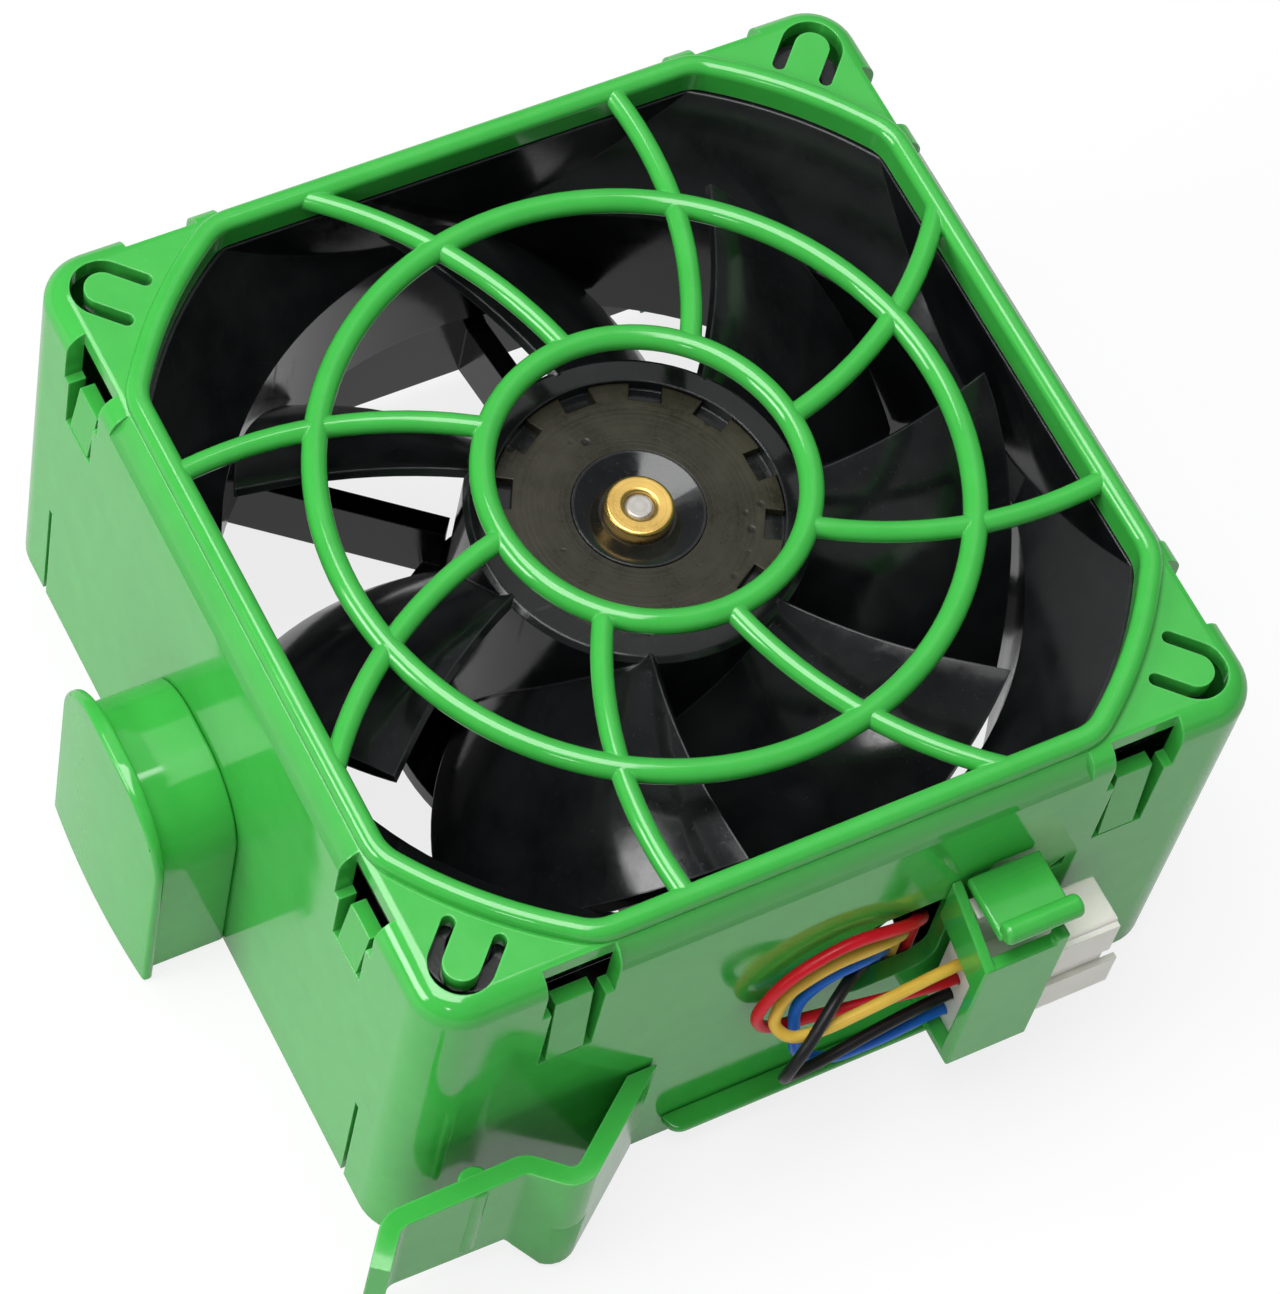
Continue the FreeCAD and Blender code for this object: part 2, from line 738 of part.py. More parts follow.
# ---- rotor ----------------------------------------------------------------------------------
def blade_station(radius, share):
    """Angle in radians and height on a blade's mean surface; share runs from trail to lead."""
    outward = (radius - hub_r) / (blade_tip_r - hub_r)
    outward = max(-0.25, min(1.1, outward))
    lead_deg = blade_lead_root + (blade_lead_tip - blade_lead_root) * outward
    span = blade_span_root + (blade_span_tip - blade_span_root) * outward
    rise = share + blade_camber * share * (1 - share)
    height = blade_z0 + (blade_z1 - blade_z0) * rise
    return math.radians(lead_deg - span * (1 - share)), height


def blade_section(distance, middle):
    """A closed outline of the blade where the plane x = distance cuts it."""
    upper, lower = [], []
    count = 9
    for index in range(count):
        share = index / (count - 1)
        radius = distance
        for _ in range(40):
            angle, height = blade_station(radius, share)
            radius = distance / math.cos(angle - middle)
        near, far = blade_station(radius, share - 0.01), blade_station(radius, share + 0.01)
        run, rise = radius * (far[0] - near[0]), far[1] - near[1]
        length = math.hypot(run, rise)
        thick = blade_edge_t + (blade_t - blade_edge_t) * math.sqrt(4 * share * (1 - share))
        for side, points in ((1, upper), (-1, lower)):
            turn = angle - middle - side * rise / length * thick / 2 / radius
            points.append(V(distance, distance * math.tan(turn), height + side * run / length * thick / 2))
    edges = []
    for points in (upper, lower[::-1]):
        curve = Part.BSplineCurve()
        curve.interpolate(points)
        edges.append(curve.toShape())
    edges.insert(1, Part.LineSegment(upper[-1], lower[-1]).toShape())
    edges.append(Part.LineSegment(lower[0], upper[0]).toShape())
    return Part.Wire(edges)


def fan_blade():
    middle = math.radians(blade_lead_tip - blade_span_tip / 2)
    stations = [9.5, 15.0, 21.0, 27.0, 33.0, 39.0]
    body = Part.makeLoft([blade_section(d, middle) for d in stations], True, False)
    body = turned(body, math.degrees(middle))
    ring = tube(blade_tip_r, hub_r - hub_wall / 2, blade_z0 - blade_t, blade_z1 + blade_t)
    return body.common(ring)


def impeller():
    plate_top = hub_top - hub_recess
    plate_low = plate_top - hub_plate_t
    bore = bush_r + slip
    inner = hub_r - hub_wall
    hub = revolved([(inner, hub_z0), (hub_r, hub_z0), (hub_r, hub_top - 0.5), (hub_r - 0.5, hub_top),
                    (hub_recess_r, hub_top), (hub_recess_r, plate_top), (hub_cone_r, plate_top),
                    (hub_cone_r, plate_top + disc_t + 0.1), (hub_cone_r - 0.2, plate_top + disc_t + 0.1),
                    (bore + 0.3, plate_top + 0.1), (bore, plate_top + 0.1), (bore, plate_low),
                    (inner, plate_low)])
    blade = fan_blade()
    step = 360.0 / blade_count
    blades = [turned(blade, index * step) for index in range(blade_count)]
    return hub.multiFuse(blades)


def balance_disc():
    z0 = hub_top - hub_recess
    disc = tube(hub_recess_r - disc_gap, hub_cone_r + disc_gap, z0, z0 + disc_t)
    outer = hub_recess_r + 1
    inner = hub_recess_r - disc_gap - disc_slot_depth
    slot = box(inner, outer, -disc_slot_w / 2, disc_slot_w / 2, z0 - 1, z0 + disc_t + 1)
    return disc.cut(joined([turned(slot, 360.0 / disc_slots * i) for i in range(disc_slots)]))


def rotor_yoke():
    outer = hub_r - hub_wall - yoke_gap
    top = hub_top - hub_recess - hub_plate_t - yoke_gap
    return revolved([(outer - yoke_t, yoke_z0), (outer, yoke_z0), (outer, top), (bush_r + slip, top),
                     (bush_r + slip, top - yoke_t), (outer - yoke_t, top - yoke_t)])


def magnet_ring():
    return tube(magnet_r, magnet_r - magnet_t, magnet_z0, magnet_z1)


def hub_bushing():
    chamfer = 0.25
    return revolved([(shaft_r, bush_z0), (bush_r, bush_z0), (bush_r, bush_top - chamfer),
                     (bush_r - chamfer, bush_top), (shaft_r + chamfer, bush_top),
                     (shaft_r, bush_top - chamfer)])


def rotor_shaft():
    chamfer = 0.3
    groove_r = shaft_r - 0.25
    z0, z1 = ring_groove_z - slip, ring_groove_z + ring_groove_t + slip
    return revolved([(0, shaft_z0), (shaft_r - chamfer, shaft_z0), (shaft_r, shaft_z0 + chamfer),
                     (shaft_r, z0), (groove_r, z0), (groove_r, z1), (shaft_r, z1),
                     (shaft_r, shaft_top - chamfer), (shaft_r - chamfer, shaft_top), (0, shaft_top)])


def retaining_ring():
    ring = tube(ring_r, shaft_r - 0.2, ring_groove_z, ring_groove_z + ring_groove_t)
    return ring.cut(box(0, ring_r + 1, -0.6, 0.6, ring_groove_z - 1, ring_groove_z + 1))


def preload_spring():
    """Spring washers between the bush and the upper bearing's inner race."""
    low = upper_bearing_z + bearing_h
    count = 3
    pitch = (bush_z0 - low) / count
    sheet = 0.25
    inner, outer = shaft_r + 0.1, race_inner_out + 0.9
    washers = []
    for index in range(count):
        z0, z1 = low + index * pitch, low + (index + 1) * pitch
        first, last = (z0, z1 - sheet) if index % 2 == 0 else (z1 - sheet, z0)
        washers.append(revolved([(inner, first), (outer, last), (outer, last + sheet),
                                 (inner, first + sheet)]))
    return Part.makeCompound(washers)


# ---- bearings -------------------------------------------------------------------------------
def ball_track():
    return (race_outer_in + race_inner_out) / 2


def race(outer, inner, z0):
    ring = tube(outer, inner, z0, z0 + bearing_h)
    groove = Part.makeTorus(ball_track(), ball_r + ball_gap, V(0, 0, z0 + bearing_h / 2))
    return ring.cut(groove)


def bearing_outer(z0):
    return race(bearing_r - slip / 2, race_outer_in, z0)


def bearing_inner(z0):
    return race(race_inner_out, shaft_r, z0)


def bearing_balls(z0):
    balls = []
    for index in range(ball_count):
        angle = 2 * math.pi * index / ball_count
        centre = V(ball_track() * math.cos(angle), ball_track() * math.sin(angle), z0 + bearing_h / 2)
        balls.append(Part.makeSphere(ball_r, centre))
    return Part.makeCompound(balls)


def bearing_tube():
    land = bearing_r - tube_land_t
    return revolved([(bearing_r, tube_z0), (tube_r, tube_z0), (tube_r, tube_z1), (bearing_r, tube_z1),
                     (bearing_r, upper_bearing_z), (land, upper_bearing_z),
                     (land, lower_bearing_z + bearing_h), (bearing_r, lower_bearing_z + bearing_h)])


# ---- stator ---------------------------------------------------------------------------------
def pole_angles():
    return [45 + 360.0 / pole_count * index for index in range(pole_count)]


def stator_core():
    core = tube(core_ring_r, tube_r + slip, core_z0, core_z1)
    shoe = tube(stator_r, stator_r - shoe_t, core_z0, core_z1)
    reach = 2 * stator_r
    edge = math.radians(shoe_half_deg)
    wedge = slab([V(0, 0, 0), V(reach * math.cos(edge), -reach * math.sin(edge), 0),
                  V(reach * math.cos(edge), reach * math.sin(edge), 0)],
                 V(0, 0, core_z0 - 1), V(0, 0, core_z1 - core_z0 + 2))
    shoe = shoe.common(wedge)
    neck = box(core_ring_r - 0.5, stator_r - shoe_t / 2, -pole_w / 2, pole_w / 2, core_z0, core_z1)
    pole = shoe.fuse(neck)
    return core.multiFuse([turned(pole, a) for a in pole_angles()]).removeSplitter()


def insulator(z0, z1):
    plate = tube(insulator_r, tube_r + slip, z0, z1)
    arm = box(insulator_r - 1, coil_r1, -insulator_arm_w / 2, insulator_arm_w / 2, z0, z1)
    return plate.multiFuse([turned(arm, a) for a in pole_angles()])


def upper_insulator():
    return insulator(core_z1, core_z1 + insulator_t)


def lower_insulator():
    """The lower insulator stands on the board by four pins."""
    low = core_z0 - insulator_t
    pins = [cylinder(board_post_r, board_z0 + board_t, low + TINY, insulator_r - 0.9, 0)]
    pins = [turned(pins[0], 90 * index) for index in range(4)]
    return insulator(low, core_z0).multiFuse(pins)


def stator_coils():
    inner_w = insulator_arm_w / 2 + coil_inner_gap
    low = core_z0 - insulator_t - coil_inner_gap
    high = core_z1 + insulator_t + coil_inner_gap
    coils = []
    for angle in pole_angles():
        outer = box(coil_r0, coil_r1, -coil_w / 2, coil_w / 2, low - coil_wind_t, high + coil_wind_t)
        outer = outer.makeFillet(1.2, edges_along(outer, 0))
        hole = box(coil_r0 - 1, coil_r1 + 1, -inner_w, inner_w, low, high)
        coils.append(turned(outer.cut(hole), angle))
    return Part.makeCompound(coils)


def circuit_board():
    return tube(board_r, tube_r + board_bore_gap, board_z0, board_z0 + board_t)


def board_components():
    """Driver chip, Hall sensor, capacitor and two resistors on the board's upper side."""
    top = board_z0 + board_t
    middle = (tube_r + board_r) / 2 + 1

    def block(width, length, height, y=0.0):
        return box(middle - width / 2, middle + width / 2, y - length / 2, y + length / 2,
                   top, top + height)

    parts = [turned(block(chip_w, chip_l, chip_h), 45),
             turned(block(sensor_w, sensor_l, sensor_h), 315),
             turned(cylinder(capacitor_r, top, top + capacitor_h, middle), 135)]
    for y in (-1.4 * resistor_w, 1.4 * resistor_w):
        parts.append(turned(block(resistor_l, resistor_w, resistor_h, y), 225))
    return Part.makeCompound(parts)


NODES = {
    "carrier_shell": carrier_shell,
    "intake_grille": intake_grille,
    "finger_grip": finger_grip,
    "release_latch": release_latch,
    "connector_bracket": connector_bracket,
    "connector_clip": connector_clip,
    "cable_ledge": cable_ledge,
    "connector_housing": connector_housing,
    "connector_terminals": connector_terminals,
    "lead_red": lambda: lead("lead_red"),
    "lead_yellow": lambda: lead("lead_yellow"),
    "lead_blue": lambda: lead("lead_blue"),
    "lead_black": lambda: lead("lead_black"),
    "fan_frame": fan_frame,
    "rear_label": rear_label,
    "impeller": impeller,
    "balance_disc": balance_disc,
    "rotor_yoke": rotor_yoke,
    "magnet_ring": magnet_ring,
    "hub_bushing": hub_bushing,
    "rotor_shaft": rotor_shaft,
    "retaining_ring": retaining_ring,
    "preload_spring": preload_spring,
    "upper_bearing_outer": lambda: bearing_outer(upper_bearing_z),
    "upper_bearing_inner": lambda: bearing_inner(upper_bearing_z),
    "upper_bearing_balls": lambda: bearing_balls(upper_bearing_z),
    "lower_bearing_outer": lambda: bearing_outer(lower_bearing_z),
    "lower_bearing_inner": lambda: bearing_inner(lower_bearing_z),
    "lower_bearing_balls": lambda: bearing_balls(lower_bearing_z),
    "bearing_tube": bearing_tube,
    "stator_core": stator_core,
    "upper_insulator": upper_insulator,
    "lower_insulator": lower_insulator,
    "stator_coils": stator_coils,
    "circuit_board": circuit_board,
    "board_components": board_components,
}

os.makedirs("parts", exist_ok=True)
for node, make in NODES.items():
    shape = make()
    shape.exportStep(os.path.join("parts", node + ".step"))
    print(node, "solids", len(shape.Solids), "valid", shape.isValid(), "volume", round(shape.Volume, 1))
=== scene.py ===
# %% [markdown]
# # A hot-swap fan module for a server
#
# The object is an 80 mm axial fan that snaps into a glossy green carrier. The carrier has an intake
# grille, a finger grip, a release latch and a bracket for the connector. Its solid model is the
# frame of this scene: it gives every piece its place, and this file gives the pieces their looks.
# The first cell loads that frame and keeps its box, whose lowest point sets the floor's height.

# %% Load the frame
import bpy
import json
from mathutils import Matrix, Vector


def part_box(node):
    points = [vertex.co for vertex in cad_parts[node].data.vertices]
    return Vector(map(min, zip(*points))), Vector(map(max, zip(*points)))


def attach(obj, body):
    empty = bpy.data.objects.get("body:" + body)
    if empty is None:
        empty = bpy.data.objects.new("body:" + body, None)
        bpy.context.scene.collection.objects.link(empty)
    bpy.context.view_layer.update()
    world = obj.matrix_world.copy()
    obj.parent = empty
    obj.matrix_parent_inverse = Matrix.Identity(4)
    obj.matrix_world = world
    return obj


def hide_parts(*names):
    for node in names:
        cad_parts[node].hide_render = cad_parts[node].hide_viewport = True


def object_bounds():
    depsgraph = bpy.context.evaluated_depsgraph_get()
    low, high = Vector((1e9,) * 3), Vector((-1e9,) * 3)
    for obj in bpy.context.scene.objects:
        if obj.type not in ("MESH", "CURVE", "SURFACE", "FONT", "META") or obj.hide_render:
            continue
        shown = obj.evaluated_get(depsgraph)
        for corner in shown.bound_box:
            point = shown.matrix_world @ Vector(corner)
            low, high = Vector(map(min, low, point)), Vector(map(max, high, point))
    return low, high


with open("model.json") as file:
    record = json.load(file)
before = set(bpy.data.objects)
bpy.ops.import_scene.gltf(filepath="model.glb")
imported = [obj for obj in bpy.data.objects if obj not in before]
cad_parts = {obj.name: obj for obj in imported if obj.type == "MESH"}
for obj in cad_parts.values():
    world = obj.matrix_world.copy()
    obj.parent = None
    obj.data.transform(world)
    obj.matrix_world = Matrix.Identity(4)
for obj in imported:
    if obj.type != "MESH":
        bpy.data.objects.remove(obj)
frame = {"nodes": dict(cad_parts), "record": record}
cad_box = [list(corner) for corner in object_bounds()]

import json
import math
import bpy
from mathutils import Vector

MM = 0.001
print("nodes in the frame:", len(frame["nodes"]))

# %% [markdown]
# ## Camera
#
# A small part looks right through a long lens, which keeps its parallel edges nearly parallel. The
# camera stands half a metre away, above the corner between the grip and the latch side, and it is
# rolled a little, as a camera held by hand is.

# %% Camera
camera_place = Vector((-0.16344, -0.19349, 0.44082))
camera_turn = Vector((29.894, -8.078, -27.270))
camera_data = bpy.data.cameras.new("camera")
camera_data.lens = 141.6
camera_data.sensor_width = 36.0
camera_data.clip_start = 0.01
camera = bpy.data.objects.new("camera", camera_data)
bpy.context.scene.collection.objects.link(camera)
camera.location = camera_place
camera.rotation_euler = [math.radians(angle) for angle in camera_turn]
bpy.context.scene.camera = camera
bpy.context.scene.view_settings.view_transform = "Standard"
print("camera distance in mm:", round(camera_place.length / MM))

# %% [markdown]
# ## Studio
#
# The floor is one large pale plane. A glossy part shows what stands round it, so the floor looks
# pale in the part's reflections as well. Light Path tells the material which kind of ray has met
# it: rays from the camera, from glossy surfaces and through clear ones see a blend of the lit floor
# and a plain glow, and the floor keeps the soft shadow. The glow is full only for the camera, so
# that the green walls keep their colour. Rays that carry light between surfaces see the plain
# floor. The world adds a faint cool light from all round.

# %% Floor and backdrop
def add_node(tree, kind, **values):
    """Add a node, setting its properties and its inputs by name."""
    node = tree.nodes.new(kind)
    for key, value in values.items():
        if hasattr(node, key):
            setattr(node, key, value)
        else:
            node.inputs[key.replace("_", " ")].default_value = value
    return node


def deselect_all():
    """Leave edit mode and clear the selection."""
    if bpy.context.object and bpy.context.object.mode != "OBJECT":
        bpy.ops.object.mode_set(mode="OBJECT")
    bpy.ops.object.select_all(action="DESELECT")


def pale_for_view(name, grey, white_share, mirrored):
    """A grey surface with a share of plain glow: full for the camera, dimmer when mirrored."""
    material = bpy.data.materials.new(name)
    material.use_nodes = True
    tree = material.node_tree
    tree.nodes.clear()
    diffuse = add_node(tree, "ShaderNodeBsdfDiffuse", Color=(grey, grey, grey, 1))
    white = add_node(tree, "ShaderNodeEmission", Color=(1, 1, 1, 1))
    path = add_node(tree, "ShaderNodeLightPath")
    glow = add_node(tree, "ShaderNodeMath", operation="MULTIPLY_ADD")
    glow.inputs[1].default_value = 1.0 - mirrored
    glow.inputs[2].default_value = mirrored
    seen = add_node(tree, "ShaderNodeMath", operation="MAXIMUM")
    through = add_node(tree, "ShaderNodeMath", operation="MAXIMUM")
    share = add_node(tree, "ShaderNodeMath", operation="MULTIPLY")
    share.inputs[1].default_value = white_share
    mix = add_node(tree, "ShaderNodeMixShader")
    output = add_node(tree, "ShaderNodeOutputMaterial")
    link = tree.links.new
    link(path.outputs["Is Camera Ray"], seen.inputs[0])
    link(path.outputs["Is Camera Ray"], glow.inputs[0])
    link(glow.outputs[0], white.inputs["Strength"])
    link(path.outputs["Is Glossy Ray"], seen.inputs[1])
    link(seen.outputs[0], through.inputs[0])
    link(path.outputs["Is Transmission Ray"], through.inputs[1])
    link(through.outputs[0], share.inputs[0])
    link(share.outputs[0], mix.inputs["Fac"])
    link(diffuse.outputs[0], mix.inputs[1])
    link(white.outputs[0], mix.inputs[2])
    link(mix.outputs[0], output.inputs["Surface"])
    return material


floor_gap = 0.05 * MM
deselect_all()
bpy.ops.mesh.primitive_plane_add(size=6.0, location=(0, 0, cad_box[0][2] - floor_gap))
floor = bpy.context.object
floor.name = "studio_floor"
studio_white = pale_for_view("studio_white", grey=0.78, white_share=0.82, mirrored=0.63)
floor.data.materials.append(studio_white)

world = bpy.data.worlds.new("studio_air")
bpy.context.scene.world = world
world.use_nodes = True
air = world.node_tree.nodes["Background"]
air.inputs["Color"].default_value = (0.93, 0.96, 1.0, 1)
air.inputs["Strength"].default_value = 0.20
print("floor and air ready:", floor.name, world.name)

# %% [markdown]
# Two large soft lamps do most of the work: the widest hangs overhead and one stands on the grip
# side, so that the curved edges carry long highlights. A very faint one opens the shadows on the
# latch side. A small lamp gives a bright spot on the near corner. A dim panel hangs where the
# camera sees it mirrored in flat tops, and lifts the plates, the rotor's disc and the brass.

# %% Lamps
def soft_lamp(name, place, size, power, aim=(0, 0, 0.02)):
    """A rectangular lamp, with its size in metres and its power in watts, that faces the part."""
    lamp = bpy.data.lights.new(name, "AREA")
    lamp.shape = "RECTANGLE"
    lamp.size, lamp.size_y = size
    lamp.energy = power
    holder = bpy.data.objects.new(name, lamp)
    bpy.context.scene.collection.objects.link(holder)
    holder.location = place
    holder.rotation_euler = (Vector(place) - Vector(aim)).to_track_quat("Z", "Y").to_euler()


soft_lamp("overhead_lamp", (-0.16, 0.10, 0.95), (0.72, 0.62), 9.8)
soft_lamp("latch_side_lamp", (0.30, -0.85, 0.50), (0.5, 0.4), 0.12)
soft_lamp("grip_side_lamp", (-0.85, 0.15, 0.45), (0.45, 0.35), 4.8)
soft_lamp("near_lamp", (-0.62, -0.68, 0.80), (0.12, 0.12), 0.5)
soft_lamp("mirror_panel", (0.33, 0.39, 0.88), (0.6, 0.6), 0.55)

# %% [markdown]
# ## Shared surface effects
#
# The same few effects appear on many pieces: the slight waviness of a moulded skin, hairline
# scratches, dust that settles on upward faces, paler edges that stand partly for wear by handling
# and partly for a painted highlight, and the rings that a lathe leaves. Each one could be rebuilt
# inside every material. A node group is built once here and gives out only masks, tones and
# heights, and each material uses it in its own measure.

# %% Effect groups
bevel_samples = 4


def effect_group(name, inputs, outputs):
    """An empty node group with named sockets, given as (name, start value) pairs or names."""
    group = bpy.data.node_groups.new(name, "ShaderNodeTree")
    group.interface.new_socket("Place", in_out="INPUT", socket_type="NodeSocketVector")
    for label, value in inputs:
        socket = group.interface.new_socket(label, in_out="INPUT", socket_type="NodeSocketFloat")
        socket.default_value = value
    for label in outputs:
        group.interface.new_socket(label, in_out="OUTPUT", socket_type="NodeSocketFloat")
    entry = group.nodes.new("NodeGroupInput")
    leave = group.nodes.new("NodeGroupOutput")
    return group, entry, leave


def between(tree, value, low, high, out_low=0.0, out_high=1.0):
    """Map a value's range low..high onto out_low..out_high, held at both ends."""
    node = add_node(tree, "ShaderNodeMapRange")
    node.clamp = True
    for socket, number in zip(node.inputs[1:5], (low, high, out_low, out_high)):
        socket.default_value = number
    tree.links.new(value, node.inputs[0])
    return node.outputs[0]


def maths(tree, operation, first, second):
    """One arithmetic node; each side is a socket or a plain number."""
    node = add_node(tree, "ShaderNodeMath", operation=operation)
    for socket, side in zip(node.inputs, (first, second)):
        if isinstance(side, (int, float)):
            socket.default_value = side
        else:
            tree.links.new(side, socket)
    return node.outputs[0]


def noise(tree, place, scale, detail=2.0, roughness=0.5):
    """A cloud pattern of values near 0.5; the scale is a socket or a plain number."""
    node = add_node(tree, "ShaderNodeTexNoise")
    node.inputs["Detail"].default_value = detail
    node.inputs["Roughness"].default_value = roughness
    if isinstance(scale, (int, float)):
        node.inputs["Scale"].default_value = scale
    else:
        tree.links.new(scale, node.inputs["Scale"])
    tree.links.new(place, node.inputs["Vector"])
    return node.outputs["Fac"]


print("helpers ready for the effect groups")

# %% [markdown]
# A moulded skin is never quite flat: it sinks a little where the wall is thick, and it copies the
# fine finish of the steel mould. One slow noise stands for the sink and one fast noise for the
# mould. A third one makes the colour and the gloss drift.

# %% Moulded skin group
skin, entry, leave = effect_group("moulded_skin", [("Sink", 60.0), ("Grain", 2500.0)],
                                  ["Tone", "Gloss", "Height"])
slow = noise(skin, entry.outputs["Place"], entry.outputs["Sink"], 2.0)
fast = noise(skin, entry.outputs["Place"], entry.outputs["Grain"], 3.0, 0.6)
cloud = noise(skin, entry.outputs["Place"], 210.0, 4.0, 0.6)
skin.links.new(between(skin, cloud, 0.3, 0.7), leave.inputs["Tone"])
skin.links.new(between(skin, maths(skin, "ADD", maths(skin, "MULTIPLY", cloud, 0.6),
                                   maths(skin, "MULTIPLY", fast, 0.4)), 0.35, 0.65),
               leave.inputs["Gloss"])
skin.links.new(maths(skin, "ADD", maths(skin, "MULTIPLY", slow, 0.9),
                     maths(skin, "MULTIPLY", fast, 0.1)), leave.inputs["Height"])
print("group:", skin.name)

# %% [markdown]
# Hairline scratches come in bundles that run one way. A noise that is squeezed unevenly along the
# three axes gives streaks, and keeping only its highest values leaves a few thin ones. Two
# directions are laid over each other, and a slow noise keeps the scratches in patches.

# %% Scratch group
scratches, entry, leave = effect_group("hairline_scratches", [("Density", 0.5)], ["Mask"])
masks = []
for turn, stretch in ((0.5, (900.0, 18.0, 60.0)), (2.1, (40.0, 1100.0, 25.0))):
    mapping = add_node(scratches, "ShaderNodeMapping")
    mapping.inputs["Rotation"].default_value = (turn * 0.3, turn * 0.2, turn)
    mapping.inputs["Scale"].default_value = stretch
    scratches.links.new(entry.outputs["Place"], mapping.inputs["Vector"])
    streak = noise(scratches, mapping.outputs[0], 1.0, 1.0)
    masks.append(between(scratches, streak, 0.70, 0.76))
patch = between(scratches, noise(scratches, entry.outputs["Place"], 70.0, 2.0), 0.45, 0.65)
both = maths(scratches, "MAXIMUM", masks[0], masks[1])
scratches.links.new(maths(scratches, "MULTIPLY", maths(scratches, "MULTIPLY", both, patch),
                          entry.outputs["Density"]), leave.inputs["Mask"])
print("group:", scratches.name)

# %% [markdown]
# Dust settles where a face looks up, in soft patches with a few coarser specks. The mask multiplies
# the upward part of the normal by noise, so walls and undersides stay clean.

# %% Dust group
dust, entry, leave = effect_group("settled_dust", [("Amount", 0.3)], ["Mask"])
facing = add_node(dust, "ShaderNodeNewGeometry")
parts = add_node(dust, "ShaderNodeSeparateXYZ")
dust.links.new(facing.outputs["Normal"], parts.inputs[0])
upward = between(dust, parts.outputs["Z"], 0.35, 0.95)
film = between(dust, noise(dust, entry.outputs["Place"], 130.0, 4.0, 0.65), 0.4, 0.75)
speck = between(dust, noise(dust, entry.outputs["Place"], 2600.0, 1.0), 0.66, 0.74)
layer = maths(dust, "MAXIMUM", maths(dust, "MULTIPLY", film, 0.6), speck)
dust.links.new(maths(dust, "MULTIPLY", maths(dust, "MULTIPLY", layer, upward),
                     entry.outputs["Amount"]), leave.inputs["Mask"])
print("group:", dust.name)

# %% [markdown]
# Fingers and the bay's guides wear the outer edges paler, and the same paler colour is also a
# painted highlight along the edges. A Bevel node rounds the normal near an edge, so where it
# differs from the true normal there is an edge. The difference is the mask for wear and painted
# highlight.

# %% Edge group
# This mask marks edges both for wear and for a painted highlight along them.
edges, entry, leave = effect_group("edge_wear_and_highlight", [("Reach", 0.0004)], ["Mask"])
rounded = add_node(edges, "ShaderNodeBevel")
rounded.samples = bevel_samples
edges.links.new(entry.outputs["Reach"], rounded.inputs["Radius"])
true_face = add_node(edges, "ShaderNodeNewGeometry")
agree = add_node(edges, "ShaderNodeVectorMath", operation="DOT_PRODUCT")
edges.links.new(rounded.outputs[0], agree.inputs[0])
edges.links.new(true_face.outputs["Normal"], agree.inputs[1])
broken = between(edges, noise(edges, entry.outputs["Place"], 700.0, 3.0), 0.3, 0.6, 0.4, 1.0)
edge_wear_and_highlight_mask = between(edges, agree.outputs["Value"], 0.98, 0.80)
edges.links.new(maths(edges, "MULTIPLY", edge_wear_and_highlight_mask, broken), leave.inputs["Mask"])
print("group:", edges.name)

# %% [markdown]
# A turned face keeps the tool's fine spiral. Noise that depends only on the distance from the axis
# gives rings of uneven depth, as a real cut has.

# %% Turned rings group
rings, entry, leave = effect_group("turned_rings", [("Pitch", 9000.0)], ["Tone", "Height"])
flat = add_node(rings, "ShaderNodeVectorMath", operation="MULTIPLY")
flat.inputs[1].default_value = (1.0, 1.0, 0.0)
reach = add_node(rings, "ShaderNodeVectorMath", operation="LENGTH")
rings.links.new(entry.outputs["Place"], flat.inputs[0])
rings.links.new(flat.outputs[0], reach.inputs[0])
spiral = add_node(rings, "ShaderNodeTexNoise")
spiral.noise_dimensions = "1D"
spiral.inputs["Detail"].default_value = 3.0
rings.links.new(reach.outputs["Value"], spiral.inputs["W"])
rings.links.new(entry.outputs["Pitch"], spiral.inputs["Scale"])
rings.links.new(between(rings, spiral.outputs["Fac"], 0.3, 0.7), leave.inputs["Tone"])
rings.links.new(spiral.outputs["Fac"], leave.inputs["Height"])
print("group:", rings.name)

# %% [markdown]
# ## Plastics
#
# Every plastic here is built the same way: a colour that drifts a little and changes on edges,
# partly as wear and partly as a painted highlight, a gloss that is broken by the mould's finish and
# by scratches, a pale trace of dust, and a height for the bump. One helper wires those effects,
# and each plastic gets its own colours and amounts. The Bevel node that feeds the bump rounds the
# light on edges that the solid model leaves sharp.

# %% Plastic helper
dust_colour = (0.42, 0.41, 0.38)
scratch_roughness = 0.22
dust_roughness = 0.45
scratch_depth = 0.25


def start_material(name, **sockets):
    """A material with its shader and the piece's own coordinates."""
    material = bpy.data.materials.new(name)
    material.use_nodes = True
    tree = material.node_tree
    shader = tree.nodes["Principled BSDF"]
    for label, value in sockets.items():
        shader.inputs[label.replace("_", " ")].default_value = value
    place = add_node(tree, "ShaderNodeTexCoord").outputs["Object"]
    return material, tree, shader, place


def use_effect(tree, group, place, **values):
    """Place an effect group in a material, with this material's own amounts."""
    node = tree.nodes.new("ShaderNodeGroup")
    node.node_tree = group
    tree.links.new(place, node.inputs["Place"])
    for label, value in values.items():
        node.inputs[label].default_value = value
    return node


def blend_colours(tree, share, first, second):
    """Mix two colours by a mask; each colour is a socket or three numbers."""
    node = add_node(tree, "ShaderNodeMix", data_type="RGBA")
    tree.links.new(share, node.inputs["Factor"])
    for socket, colour in ((node.inputs[6], first), (node.inputs[7], second)):
        if isinstance(colour, tuple):
            socket.default_value = (*colour, 1.0)
        else:
            tree.links.new(colour, socket)
    return node.outputs[2]


